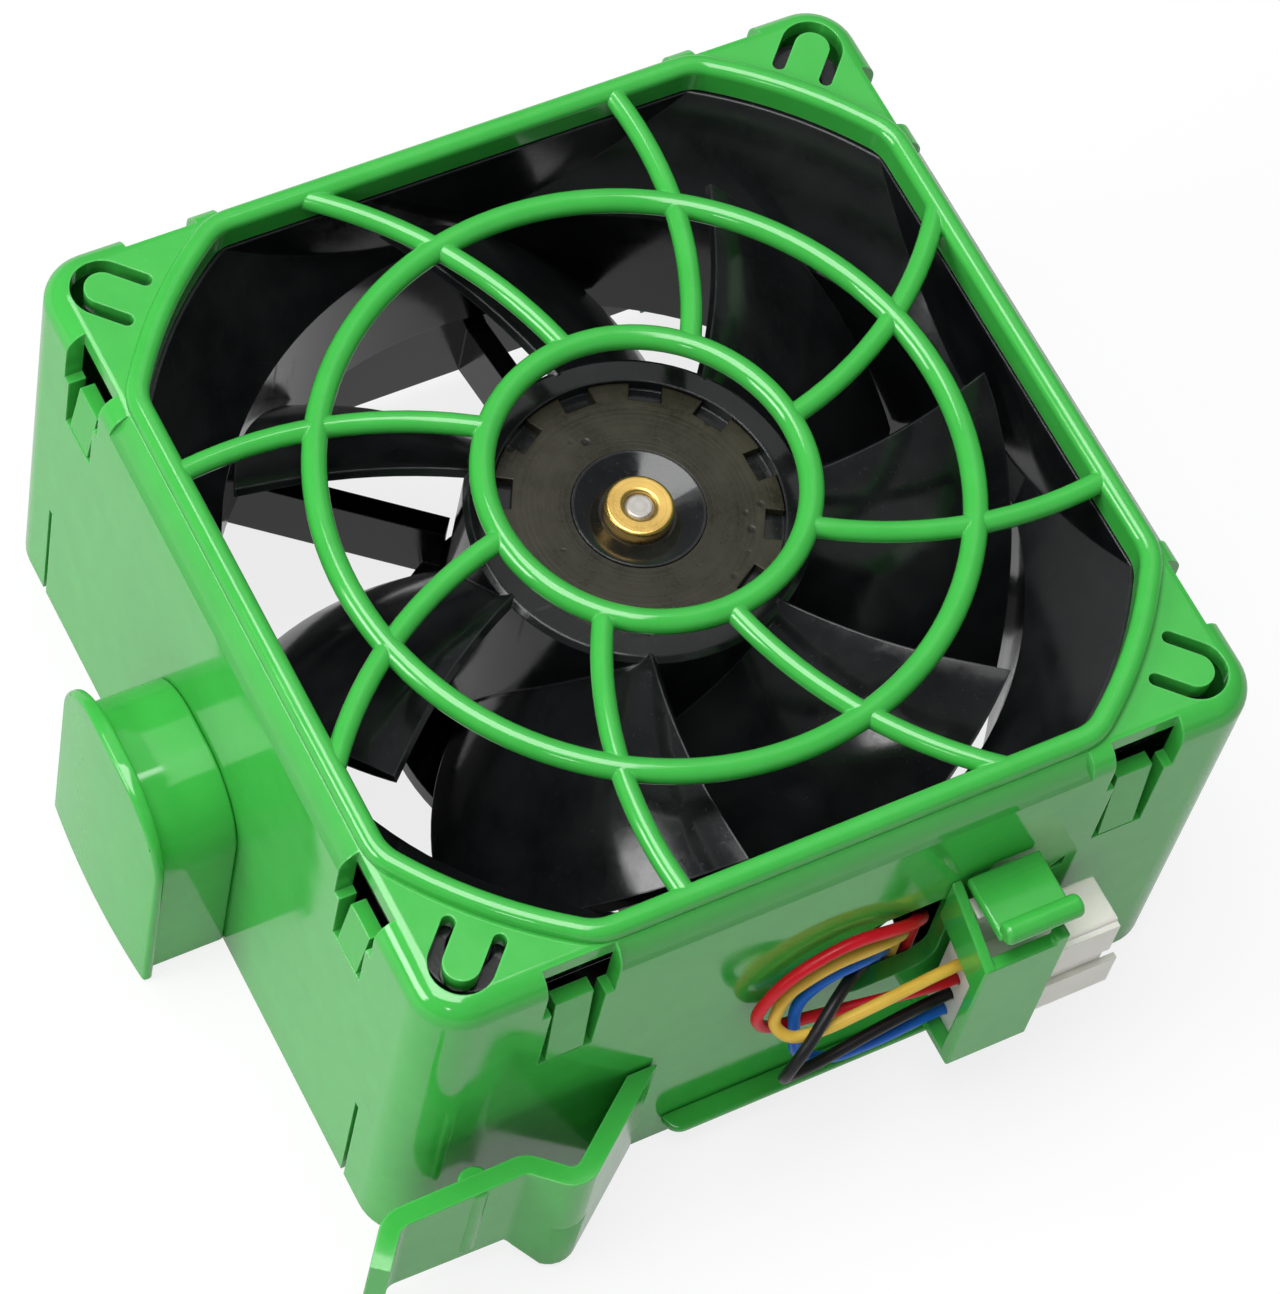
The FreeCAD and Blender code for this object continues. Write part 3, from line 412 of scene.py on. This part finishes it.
def add_bump(tree, shader, height, depth, edge_radius=0.0):
    """Turn a height of 0..1 into a relief of the given depth in metres."""
    bump = add_node(tree, "ShaderNodeBump")
    bump.inputs["Strength"].default_value = 1.0
    bump.inputs["Distance"].default_value = depth
    tree.links.new(height, bump.inputs["Height"])
    if edge_radius:
        soft = add_node(tree, "ShaderNodeBevel")
        soft.samples = bevel_samples
        soft.inputs["Radius"].default_value = edge_radius
        tree.links.new(soft.outputs[0], bump.inputs["Normal"])
    tree.links.new(bump.outputs[0], shader.inputs["Normal"])


def plastic(name, deep, bright, edge_wear_and_highlight_colour, rough, scratch=0.4, dusty=0.1, relief=6e-6, sink=60.0,
            grain=2500.0, edge=0.0003, **sockets):
    """A plastic of two body colours, edges of wear and painted highlight, and a roughness range."""
    material, tree, shader, place = start_material(name, **sockets)
    surface = use_effect(tree, skin, place, Sink=sink, Grain=grain)
    marks = use_effect(tree, scratches, place, Density=scratch)
    film = use_effect(tree, dust, place, Amount=dusty)
    # Edge colour: partly wear, partly a painted highlight along the edges.
    edge_wear_and_highlight_effect = use_effect(tree, edges, place)
    body = blend_colours(tree, surface.outputs["Tone"], deep, bright)
    body_with_edge_wear_and_highlight = blend_colours(tree, edge_wear_and_highlight_effect.outputs["Mask"], body, edge_wear_and_highlight_colour)
    dusted = blend_colours(tree, film.outputs["Mask"], body_with_edge_wear_and_highlight, dust_colour)
    tree.links.new(dusted, shader.inputs["Base Color"])
    gloss = between(tree, surface.outputs["Gloss"], 0.0, 1.0, *rough)
    scuff = maths(tree, "MULTIPLY", marks.outputs["Mask"], scratch_roughness)
    scuffed = maths(tree, "ADD", gloss, scuff)
    dullness = maths(tree, "MULTIPLY", film.outputs["Mask"], dust_roughness)
    tree.links.new(maths(tree, "ADD", scuffed, dullness), shader.inputs["Roughness"])
    scored = maths(tree, "MULTIPLY", marks.outputs["Mask"], scratch_depth)
    lowered = maths(tree, "SUBTRACT", surface.outputs["Height"], scored)
    add_bump(tree, shader, lowered, relief, edge)
    return material


print("plastic helper ready")

# %% [markdown]
# The carrier is a glossy saturated green. The fan is a glassy black polyester. The connector is
# plain ivory nylon, the insulators are white, and the leads have a smooth vinyl skin. Colours are
# linear values. Each plastic names its two body colours, the colour of its edges, which stands
# partly for wear and partly for a painted highlight, and the lowest and highest roughness, in that
# order.

# %% Plastics
# The third colour of each plastic is its edge colour: wear and a painted highlight.
finish = {
    "carrier_green": plastic("carrier_green", (0.040, 0.378, 0.051), (0.047, 0.412, 0.058),
                             (0.110, 0.560, 0.130), (0.06, 0.15), scratch=0.4, dusty=0.03,
                             relief=7e-6, sink=45.0, edge=0.0002, IOR=1.55),
    "fan_black": plastic("fan_black", (0.0045, 0.0050, 0.0055), (0.0090, 0.0098, 0.0105),
                         (0.040, 0.042, 0.045), (0.09, 0.20), scratch=0.6, dusty=0.03,
                         relief=5e-6, sink=70.0, edge=0.00025),
    "connector_ivory": plastic("connector_ivory", (0.77, 0.75, 0.68), (0.85, 0.83, 0.76),
                               (0.92, 0.91, 0.87), (0.30, 0.44), scratch=0.3, dusty=0.08,
                               relief=5e-6, edge=0.0002, Subsurface_Weight=0.08,
                               Subsurface_Scale=0.0008),
    "insulator_white": plastic("insulator_white", (0.62, 0.60, 0.53), (0.72, 0.70, 0.63),
                               (0.80, 0.78, 0.72), (0.38, 0.52), edge=0.0002),
    "component_black": plastic("component_black", (0.010, 0.010, 0.011), (0.022, 0.022, 0.024),
                               (0.06, 0.06, 0.06), (0.45, 0.65), relief=14e-6, edge=0.0001),
    "label_white": plastic("label_white", (0.70, 0.70, 0.68), (0.80, 0.80, 0.78),
                           (0.60, 0.60, 0.58), (0.30, 0.42), scratch=0.8, dusty=0.2, edge=0.0001),
}
for slot, deep, bright in (("lead_red", (0.60, 0.003, 0.012), (0.74, 0.006, 0.022)),
                           ("lead_yellow", (0.74, 0.46, 0.050), (0.86, 0.58, 0.090)),
                           ("lead_blue", (0.005, 0.110, 0.560), (0.009, 0.160, 0.700)),
                           ("lead_black", (0.006, 0.006, 0.007), (0.012, 0.012, 0.013))):
    finish[slot] = plastic(slot, deep, bright, bright, (0.30, 0.44), scratch=0.3, dusty=0.0,
                           relief=5e-6, sink=220.0, grain=5000.0, edge=0.0,
                           Specular_IOR_Level=0.35)
print("plastics:", ", ".join(finish))

# %% [markdown]
# The disc that closes the rotor is rougher than the blades: a brown-black phenolic whose tone
# drifts, with faint paler rings from its press tool, and small pits where weight was taken off or
# flash was cut away, whose darker colour is painted shade in the hollows. Cells of a Voronoi
# pattern, cut down to their centres, make the pits, and a noise leaves them out in places.

# %% Balance disc finish
disc, tree, shader, place = start_material("disc_brown", IOR=1.37)
surface = use_effect(tree, skin, place, Sink=260.0, Grain=3800.0)
tool = use_effect(tree, rings, place, Pitch=2400.0)
cells = add_node(tree, "ShaderNodeTexVoronoi")
cells.inputs["Scale"].default_value = 420.0
tree.links.new(place, cells.inputs["Vector"])
centre = between(tree, cells.outputs["Distance"], 0.20, 0.10)
chosen = between(tree, noise(tree, place, 300.0, 2.0), 0.52, 0.62)
pits = maths(tree, "MULTIPLY", centre, chosen)
body = blend_colours(tree, surface.outputs["Tone"], (0.008, 0.008, 0.003), (0.024, 0.022, 0.010))
ring_share = maths(tree, "MULTIPLY", tool.outputs["Tone"], 0.35)
ringed = blend_colours(tree, ring_share, body, (0.034, 0.029, 0.019))
# Painted shade: the pits are coloured darker as well as lowered by the bump.
colour_with_painted_pit_shade = blend_colours(tree, pits, ringed, (0.006, 0.005, 0.004))
tree.links.new(colour_with_painted_pit_shade, shader.inputs["Base Color"])
satin = between(tree, surface.outputs["Gloss"], 0.0, 1.0, 0.20, 0.46)
tree.links.new(satin, shader.inputs["Roughness"])
ring_height = maths(tree, "MULTIPLY", tool.outputs["Height"], 0.30)
raised = maths(tree, "ADD", surface.outputs["Height"], ring_height)
relief = maths(tree, "SUBTRACT", raised, maths(tree, "MULTIPLY", pits, 0.8))
add_bump(tree, shader, relief, 45e-6, 0.0002)
finish["disc_brown"] = disc
print("finish:", disc.name)

# %% [markdown]
# ## Metals
#
# The bush is turned brass, the shaft's end is bare steel and rather rough, the motor's cup is
# zinc-plated sheet, and the connector's terminals are tinned. All share one helper: rings or grain
# for the relief, a tone that dulls the metal in patches, and full metallic.

# %% Metals
def metal(name, dull, clean, rough, pitch=9000.0, relief=6e-6, ring_share=0.7, edge=0.0002):
    """A metal from its dull and clean colours, a range of roughness and its share of rings."""
    material, tree, shader, place = start_material(name, Metallic=1.0)
    lathe = use_effect(tree, rings, place, Pitch=pitch)
    surface = use_effect(tree, skin, place, Sink=400.0, Grain=9000.0)
    patchy = maths(tree, "ADD", maths(tree, "MULTIPLY", lathe.outputs["Tone"], ring_share),
                   maths(tree, "MULTIPLY", surface.outputs["Tone"], 1.0 - ring_share))
    tree.links.new(blend_colours(tree, patchy, dull, clean), shader.inputs["Base Color"])
    gloss = between(tree, surface.outputs["Gloss"], 0.0, 1.0, *rough)
    tree.links.new(gloss, shader.inputs["Roughness"])
    height = maths(tree, "ADD", maths(tree, "MULTIPLY", lathe.outputs["Height"], ring_share),
                   maths(tree, "MULTIPLY", surface.outputs["Height"], 1.0 - ring_share))
    add_bump(tree, shader, height, relief, edge)
    return material


metals = {
    "bush_brass": metal("bush_brass", (0.54, 0.32, 0.07), (0.80, 0.56, 0.18), (0.22, 0.40),
                        edge=0.0),
    "bare_steel": metal("bare_steel", (0.16, 0.14, 0.12), (0.62, 0.60, 0.57), (0.34, 0.58),
                        pitch=5200.0, relief=40e-6, ring_share=0.30, edge=0.0),
    "yoke_steel": metal("yoke_steel", (0.34, 0.35, 0.36), (0.56, 0.57, 0.58), (0.30, 0.44)),
    "terminal_tin": metal("terminal_tin", (0.50, 0.49, 0.46), (0.76, 0.75, 0.71), (0.20, 0.36),
                          ring_share=0.1),
}
finish.update(metals)
print("metals:", ", ".join(metals))

# %% [markdown]
# The motor's inside shows only when the module is taken apart, but each piece still has its own
# finish. Sheet steel is stacked in the stator and copper wire is wound in rows, so both get even
# bands: a wave pattern whose place is scaled to nothing along two axes changes only along the
# third. The magnet is a matt bonded ferrite, and the board has a green solder mask over tracks,
# for which the joints of a brick pattern stand.

# %% Motor finishes
def banded(name, axis_scale, dark, light, rough, depth, metallic):
    """Even bands that follow each other along one axis, for stacked sheets or a wound wire."""
    material, tree, shader, place = start_material(name, Metallic=metallic)
    mapping = add_node(tree, "ShaderNodeMapping")
    mapping.inputs["Scale"].default_value = axis_scale
    tree.links.new(place, mapping.inputs["Vector"])
    wave = add_node(tree, "ShaderNodeTexWave", bands_direction="DIAGONAL")
    wave.inputs["Scale"].default_value = 1.0
    wave.inputs["Distortion"].default_value = 0.4
    tree.links.new(mapping.outputs[0], wave.inputs["Vector"])
    surface = use_effect(tree, skin, place, Sink=300.0, Grain=4000.0)
    share = maths(tree, "MULTIPLY", wave.outputs["Fac"],
                  between(tree, surface.outputs["Tone"], 0.0, 1.0, 0.7, 1.0))
    tree.links.new(blend_colours(tree, share, dark, light), shader.inputs["Base Color"])
    gloss = between(tree, surface.outputs["Gloss"], 0.0, 1.0, *rough)
    tree.links.new(gloss, shader.inputs["Roughness"])
    add_bump(tree, shader, wave.outputs["Fac"], depth)
    return material


finish["lamination"] = banded("lamination", (0.0, 0.0, 900.0), (0.10, 0.10, 0.11),
                              (0.42, 0.42, 0.44), (0.34, 0.52), depth=60e-6, metallic=1.0)
finish["copper_wire"] = banded("copper_wire", (0.0, 0.0, 1400.0), (0.20, 0.060, 0.020),
                               (0.66, 0.27, 0.12), (0.22, 0.36), depth=90e-6, metallic=0.9)
finish["magnet"] = plastic("magnet", (0.016, 0.016, 0.017), (0.036, 0.036, 0.038),
                           (0.08, 0.08, 0.08), (0.50, 0.70), relief=22e-6, edge=0.0)
board, tree, shader, place = start_material("board_green")
surface = use_effect(tree, skin, place, Sink=200.0, Grain=3000.0)
tracks = add_node(tree, "ShaderNodeTexBrick")
tracks.inputs["Scale"].default_value = 260.0
tracks.inputs["Mortar Size"].default_value = 0.035
tree.links.new(place, tracks.inputs["Vector"])
masked = blend_colours(tree, surface.outputs["Tone"], (0.010, 0.085, 0.028), (0.018, 0.140, 0.045))
tree.links.new(blend_colours(tree, tracks.outputs["Fac"], masked, (0.045, 0.230, 0.080)),
               shader.inputs["Base Color"])
lacquer = between(tree, surface.outputs["Gloss"], 0.0, 1.0, 0.18, 0.34)
tree.links.new(lacquer, shader.inputs["Roughness"])
add_bump(tree, shader, tracks.outputs["Fac"], 30e-6)
finish["board_green"] = board
print("finishes in all:", len(finish))

# %% [markdown]
# ## Dress the frame
#
# Every node of the solid model gets the finish that its record names. The node's mesh is left as
# it is, and only its material changes. The nodes that a new piece replaces further down are
# dressed as well, because some of them are the source of that piece.

# %% Dress the nodes
slot_of = {part["node"]: part["material_slot"] for part in frame["record"]["subparts"]}
for name, node in frame["nodes"].items():
    node.data.materials.clear()
    node.data.materials.append(finish[slot_of[name]])
print("nodes dressed:", len(frame["nodes"]))

# %% [markdown]
# ## Softened mouldings
#
# A mould has no knife edges: every outer edge has a small radius that catches a line of light. The
# solid model leaves many of them sharp. The quickest way to the real look is to copy such a node,
# merge and dissolve its loose triangles into whole faces, and bevel the sharp edges of the copy.

# %% Softening helper
merge_distance = 2e-6
flat_angle = math.radians(0.6)


def finish_piece(piece, body, slot_name, *nodes):
    """Give a finished piece its material and its body, and hide the nodes that it stands for."""
    piece.data.materials.clear()
    piece.data.materials.append(finish[slot_name])
    if nodes:
        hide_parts(*nodes)
    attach(piece, body)


def pick(piece):
    """Select one piece alone, as the object that the next operator acts on."""
    deselect_all()
    piece.select_set(True)
    bpy.context.view_layer.objects.active = piece


def round_edges(piece, width, steps=2, angle=38):
    """Bevel the sharp edges for good, and shade so that the flat faces stay flat."""
    pick(piece)
    bevel = piece.modifiers.new("edge radius", "BEVEL")
    bevel.width = width
    bevel.segments = steps
    bevel.limit_method = "ANGLE"
    bevel.angle_limit = math.radians(angle)
    bpy.ops.object.modifier_apply(modifier=bevel.name)
    bpy.ops.object.shade_smooth_by_angle(angle=math.radians(angle))
    even = piece.modifiers.new("even shading", "WEIGHTED_NORMAL")
    even.keep_sharp = True
    bpy.ops.object.modifier_apply(modifier=even.name)


def softened(node_name, piece_name, body, width, steps=2):
    """A copy of a node with whole faces and rounded edges, which takes the node's place."""
    source = frame["nodes"][node_name]
    piece = bpy.data.objects.new(piece_name, source.data.copy())
    bpy.context.scene.collection.objects.link(piece)
    pick(piece)
    bpy.ops.object.mode_set(mode="EDIT")
    bpy.ops.mesh.select_all(action="SELECT")
    bpy.ops.mesh.remove_doubles(threshold=merge_distance)
    bpy.ops.mesh.dissolve_limited(angle_limit=flat_angle)
    bpy.ops.object.mode_set(mode="OBJECT")
    before = len(piece.data.polygons)
    round_edges(piece, width, steps)
    finish_piece(piece, body, slot_of[node_name], node_name)
    print(piece_name, "faces", before, "->", len(piece.data.polygons))


softened("finger_grip", "grip_moulding", "carrier", 0.45 * MM)
softened("connector_bracket", "bracket_moulding", "carrier", 0.85 * MM, 4)
softened("cable_ledge", "ledge_moulding", "carrier", 0.3 * MM)
softened("connector_housing", "plug_moulding", "carrier", 0.12 * MM)
softened("carrier_shell", "shell_moulding", "carrier", 0.2 * MM)
softened("hub_bushing", "turned_bush", "rotor", 0.16 * MM)
softened("rotor_shaft", "ground_shaft", "rotor", 0.15 * MM)
softened("balance_disc", "pressed_disc", "rotor", 0.12 * MM)

# %% [markdown]
# ## Release latch
#
# The latch is a long sprung strip: it leaves the wall, swings out to a nose, comes back and runs
# along the side to a tail for the thumb. It could be cut from a block, but a real mould draws it as
# a ribbon of even thickness. So an upright sheet is extruded from station to station along the
# path, thickened by a Solidify modifier, and rounded by a bevel.

# %% Ribbon helper
same_place = 1e-6


def round_track(points, radii, steps=6):
    """Stations along straight runs, with an arc of the given radius at each inner point."""
    track = [Vector(points[0])]
    for before, corner, after, radius in zip(points, points[1:], points[2:], radii):
        before, corner, after = Vector(before), Vector(corner), Vector(after)
        back = (before - corner).normalized()
        ahead = (after - corner).normalized()
        half_angle = back.angle(ahead) / 2
        centre = corner + (back + ahead).normalized() * radius / math.sin(half_angle)
        first = corner + back * radius / math.tan(half_angle) - centre
        last = corner + ahead * radius / math.tan(half_angle) - centre
        for step in range(steps + 1):
            track.append(centre + first.lerp(last, step / steps).normalized() * radius)
    track.append(Vector(points[-1]))
    return track


def ribbon(name, track, width_axis, width, thickness):
    """A strip of even thickness: an edge across the strip is extruded along the track."""
    deselect_all()
    bpy.ops.mesh.primitive_plane_add(size=1.0)
    strip = bpy.context.object
    strip.name = name
    across = Vector(width_axis) * width / 2
    ahead = track[1] - track[0]
    near, far = track[0] - across, track[0] + across
    for vertex, corner in zip(strip.data.vertices, (near, near + ahead, far, far + ahead)):
        vertex.co = corner
    for start, end in zip(track[1:], track[2:]):
        bpy.ops.object.mode_set(mode="EDIT")
        bpy.ops.mesh.select_mode(type="EDGE")
        bpy.ops.mesh.select_all(action="DESELECT")
        bpy.ops.object.mode_set(mode="OBJECT")
        for edge in strip.data.edges:
            reaches = [strip.data.vertices[index].co - start for index in edge.vertices]
            edge.select = all(min((reach - across).length, (reach + across).length) < same_place
                              for reach in reaches)
        bpy.ops.object.mode_set(mode="EDIT")
        bpy.ops.mesh.extrude_region_move(TRANSFORM_OT_translate={"value": tuple(end - start)})
        bpy.ops.object.mode_set(mode="OBJECT")
    pick(strip)
    wall = strip.modifiers.new("thickness", "SOLIDIFY")
    wall.thickness = thickness
    wall.offset = 0.0
    wall.use_even_offset = True
    bpy.ops.object.modifier_apply(modifier=wall.name)
    bpy.ops.object.mode_set(mode="EDIT")
    bpy.ops.mesh.select_all(action="SELECT")
    bpy.ops.mesh.normals_make_consistent(inside=False)
    bpy.ops.object.mode_set(mode="OBJECT")
    return strip


print("ribbon helper ready")

# %% [markdown]
# The strip's lower edge is level at first. Behind the nose it is raised over a short slope, so that
# the nose hangs lower than the run and the tail. The root is cut off flat, just clear of the wall,
# because the latch turns there.

# %% Latch strip
wall_y = -43.0 * MM
root_gap = 0.22 * MM
latch_low = 0.7 * MM
latch_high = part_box("release_latch")[1][2]
middle_z = (latch_low + latch_high) / 2
latch_points = [(-17.5, -42.6), (-28.5, -50.85), (-32.5, -47.3), (-46.2, -47.45), (-49.2, -51.3)]
track = round_track([(x * MM, y * MM, middle_z) for x, y in latch_points],
                    [1.9 * MM, 2.2 * MM, 2.6 * MM])
latch = ribbon("latch_strip", track, (0, 0, 1), latch_high - latch_low, 1.95 * MM)
bpy.ops.object.mode_set(mode="EDIT")
bpy.ops.mesh.select_all(action="SELECT")
bpy.ops.mesh.bisect(plane_co=(0, wall_y - root_gap, 0), plane_no=(0, 1, 0), clear_outer=True,
                    use_fill=True)
bpy.ops.object.mode_set(mode="OBJECT")
slope_start_x = -31.0 * MM
slope_length = 3.0 * MM
run_raise = 4.6 * MM
for vertex in latch.data.vertices:
    if vertex.co.z < middle_z and vertex.co.x < slope_start_x:
        share = min(1.0, (slope_start_x - vertex.co.x) / slope_length)
        vertex.co.z += share * run_raise
print("latch strip height in mm:", round((latch_high - latch_low) / MM, 1))

# %% [markdown]
# The nose has a small ledge that holds the module in its bay, with a ramp under it. The ramp could
# be modelled in the strip, but a cut is simpler: a wedge that is deepest at its top is taken out of
# the round nose with a Boolean modifier. After that the strip gets its edge radius.

# %% Latch ramp
def block(name, place, size):
    """A box of the given size, with its place and its size moved into its mesh."""
    deselect_all()
    bpy.ops.mesh.primitive_cube_add(size=1.0, location=place)
    box = bpy.context.object
    box.name = name
    bpy.ops.transform.resize(value=size)
    bpy.ops.object.transform_apply(location=True, rotation=True, scale=True)
    return box


wedge_taper = 0.95 * MM
wedge_middle_y = -51.55 * MM
wedge_middle_z = 7.4 * MM
cutter = block("catch_ramp_cutter", (-28.7 * MM, wedge_middle_y, wedge_middle_z),
               (4.6 * MM, 2.2 * MM, 3.4 * MM))
for vertex in cutter.data.vertices:
    if vertex.co.z < wedge_middle_z and vertex.co.y > wedge_middle_y:
        vertex.co.y -= wedge_taper
pick(latch)
ramp = latch.modifiers.new("catch ramp", "BOOLEAN")
ramp.object = cutter
ramp.operation = "DIFFERENCE"
ramp.solver = "EXACT"
bpy.ops.object.modifier_apply(modifier=ramp.name)
bpy.data.objects.remove(cutter)
strip_radius = 0.3 * MM
strip_steps = 3
strip_angle = 50
round_edges(latch, strip_radius, strip_steps, strip_angle)
finish_piece(latch, "latch", "carrier_green", "release_latch")
print("latch strip faces:", len(latch.data.polygons))

# %% [markdown]
# A round upright rib stands out from the run towards the wall, where it would stop a latch that is
# bent too far. It runs up through the strip, and its ends stay just inside the strip's edges.

# %% Latch rib
def rod(name, radius, length, place, turn=(0, 0, 0)):
    """A round bar, with its place and its turn moved into its mesh."""
    deselect_all()
    bpy.ops.mesh.primitive_cylinder_add(vertices=32, radius=radius, depth=length, location=place,
                                        rotation=turn)
    bar = bpy.context.object
    bar.name = name
    bpy.ops.object.transform_apply(location=True, rotation=True, scale=True)
    return bar


rib_low = 5.8 * MM
rib_high = latch_high - 0.2 * MM
rib = rod("latch_stop_rib", 1.6 * MM, rib_high - rib_low,
          (-37.5 * MM, -46.95 * MM, (rib_high + rib_low) / 2))
round_edges(rib, strip_radius, strip_steps, strip_angle)
finish_piece(rib, "latch", "carrier_green")
print("latch pieces:", latch.name, rib.name)

# %% [markdown]
# ## Connector clip
#
# The clip is a short sprung flap over the connector. Its free edge is rolled into a bead that a
# finger lifts. The flap is a ribbon that starts just clear of the wall, where it turns, and the
# bead is a rod whose ends are rounded off. The catch under it stays a small square block with
# softened edges, as on the solid.

# %% Connector clip
clip_x0, clip_x1 = 13.1 * MM, 20.9 * MM
clip_mid = (clip_x0 + clip_x1) / 2
flap_z = 33.1 * MM
flap_end_y = -49.9 * MM
track = round_track([(clip_mid, -43.32 * MM, flap_z + 0.1 * MM), (clip_mid, -44.6 * MM, flap_z),
                     (clip_mid, flap_end_y, flap_z)], [2.5 * MM], 4)
flap = ribbon("clip_flap", track, (1, 0, 0), clip_x1 - clip_x0, 1.1 * MM)
round_edges(flap, strip_radius, strip_steps, strip_angle)
finish_piece(flap, "clip", "carrier_green", "connector_clip")

bead = rod("clip_bead", 1.15 * MM, 8.2 * MM, (clip_mid + 0.35 * MM, flap_end_y, 34.0 * MM),
           turn=(0, math.radians(90), 0))
round_edges(bead, 0.5 * MM, 4, strip_angle)
finish_piece(bead, "clip", "carrier_green")

hook = block("clip_catch", (18.5 * MM, -45.5 * MM, 31.7 * MM), (1.0 * MM, 2.0 * MM, 2.0 * MM))
round_edges(hook, 0.15 * MM, 2, 30)
finish_piece(hook, "clip", "carrier_green")
print("clip pieces:", flap.name, bead.name, hook.name)
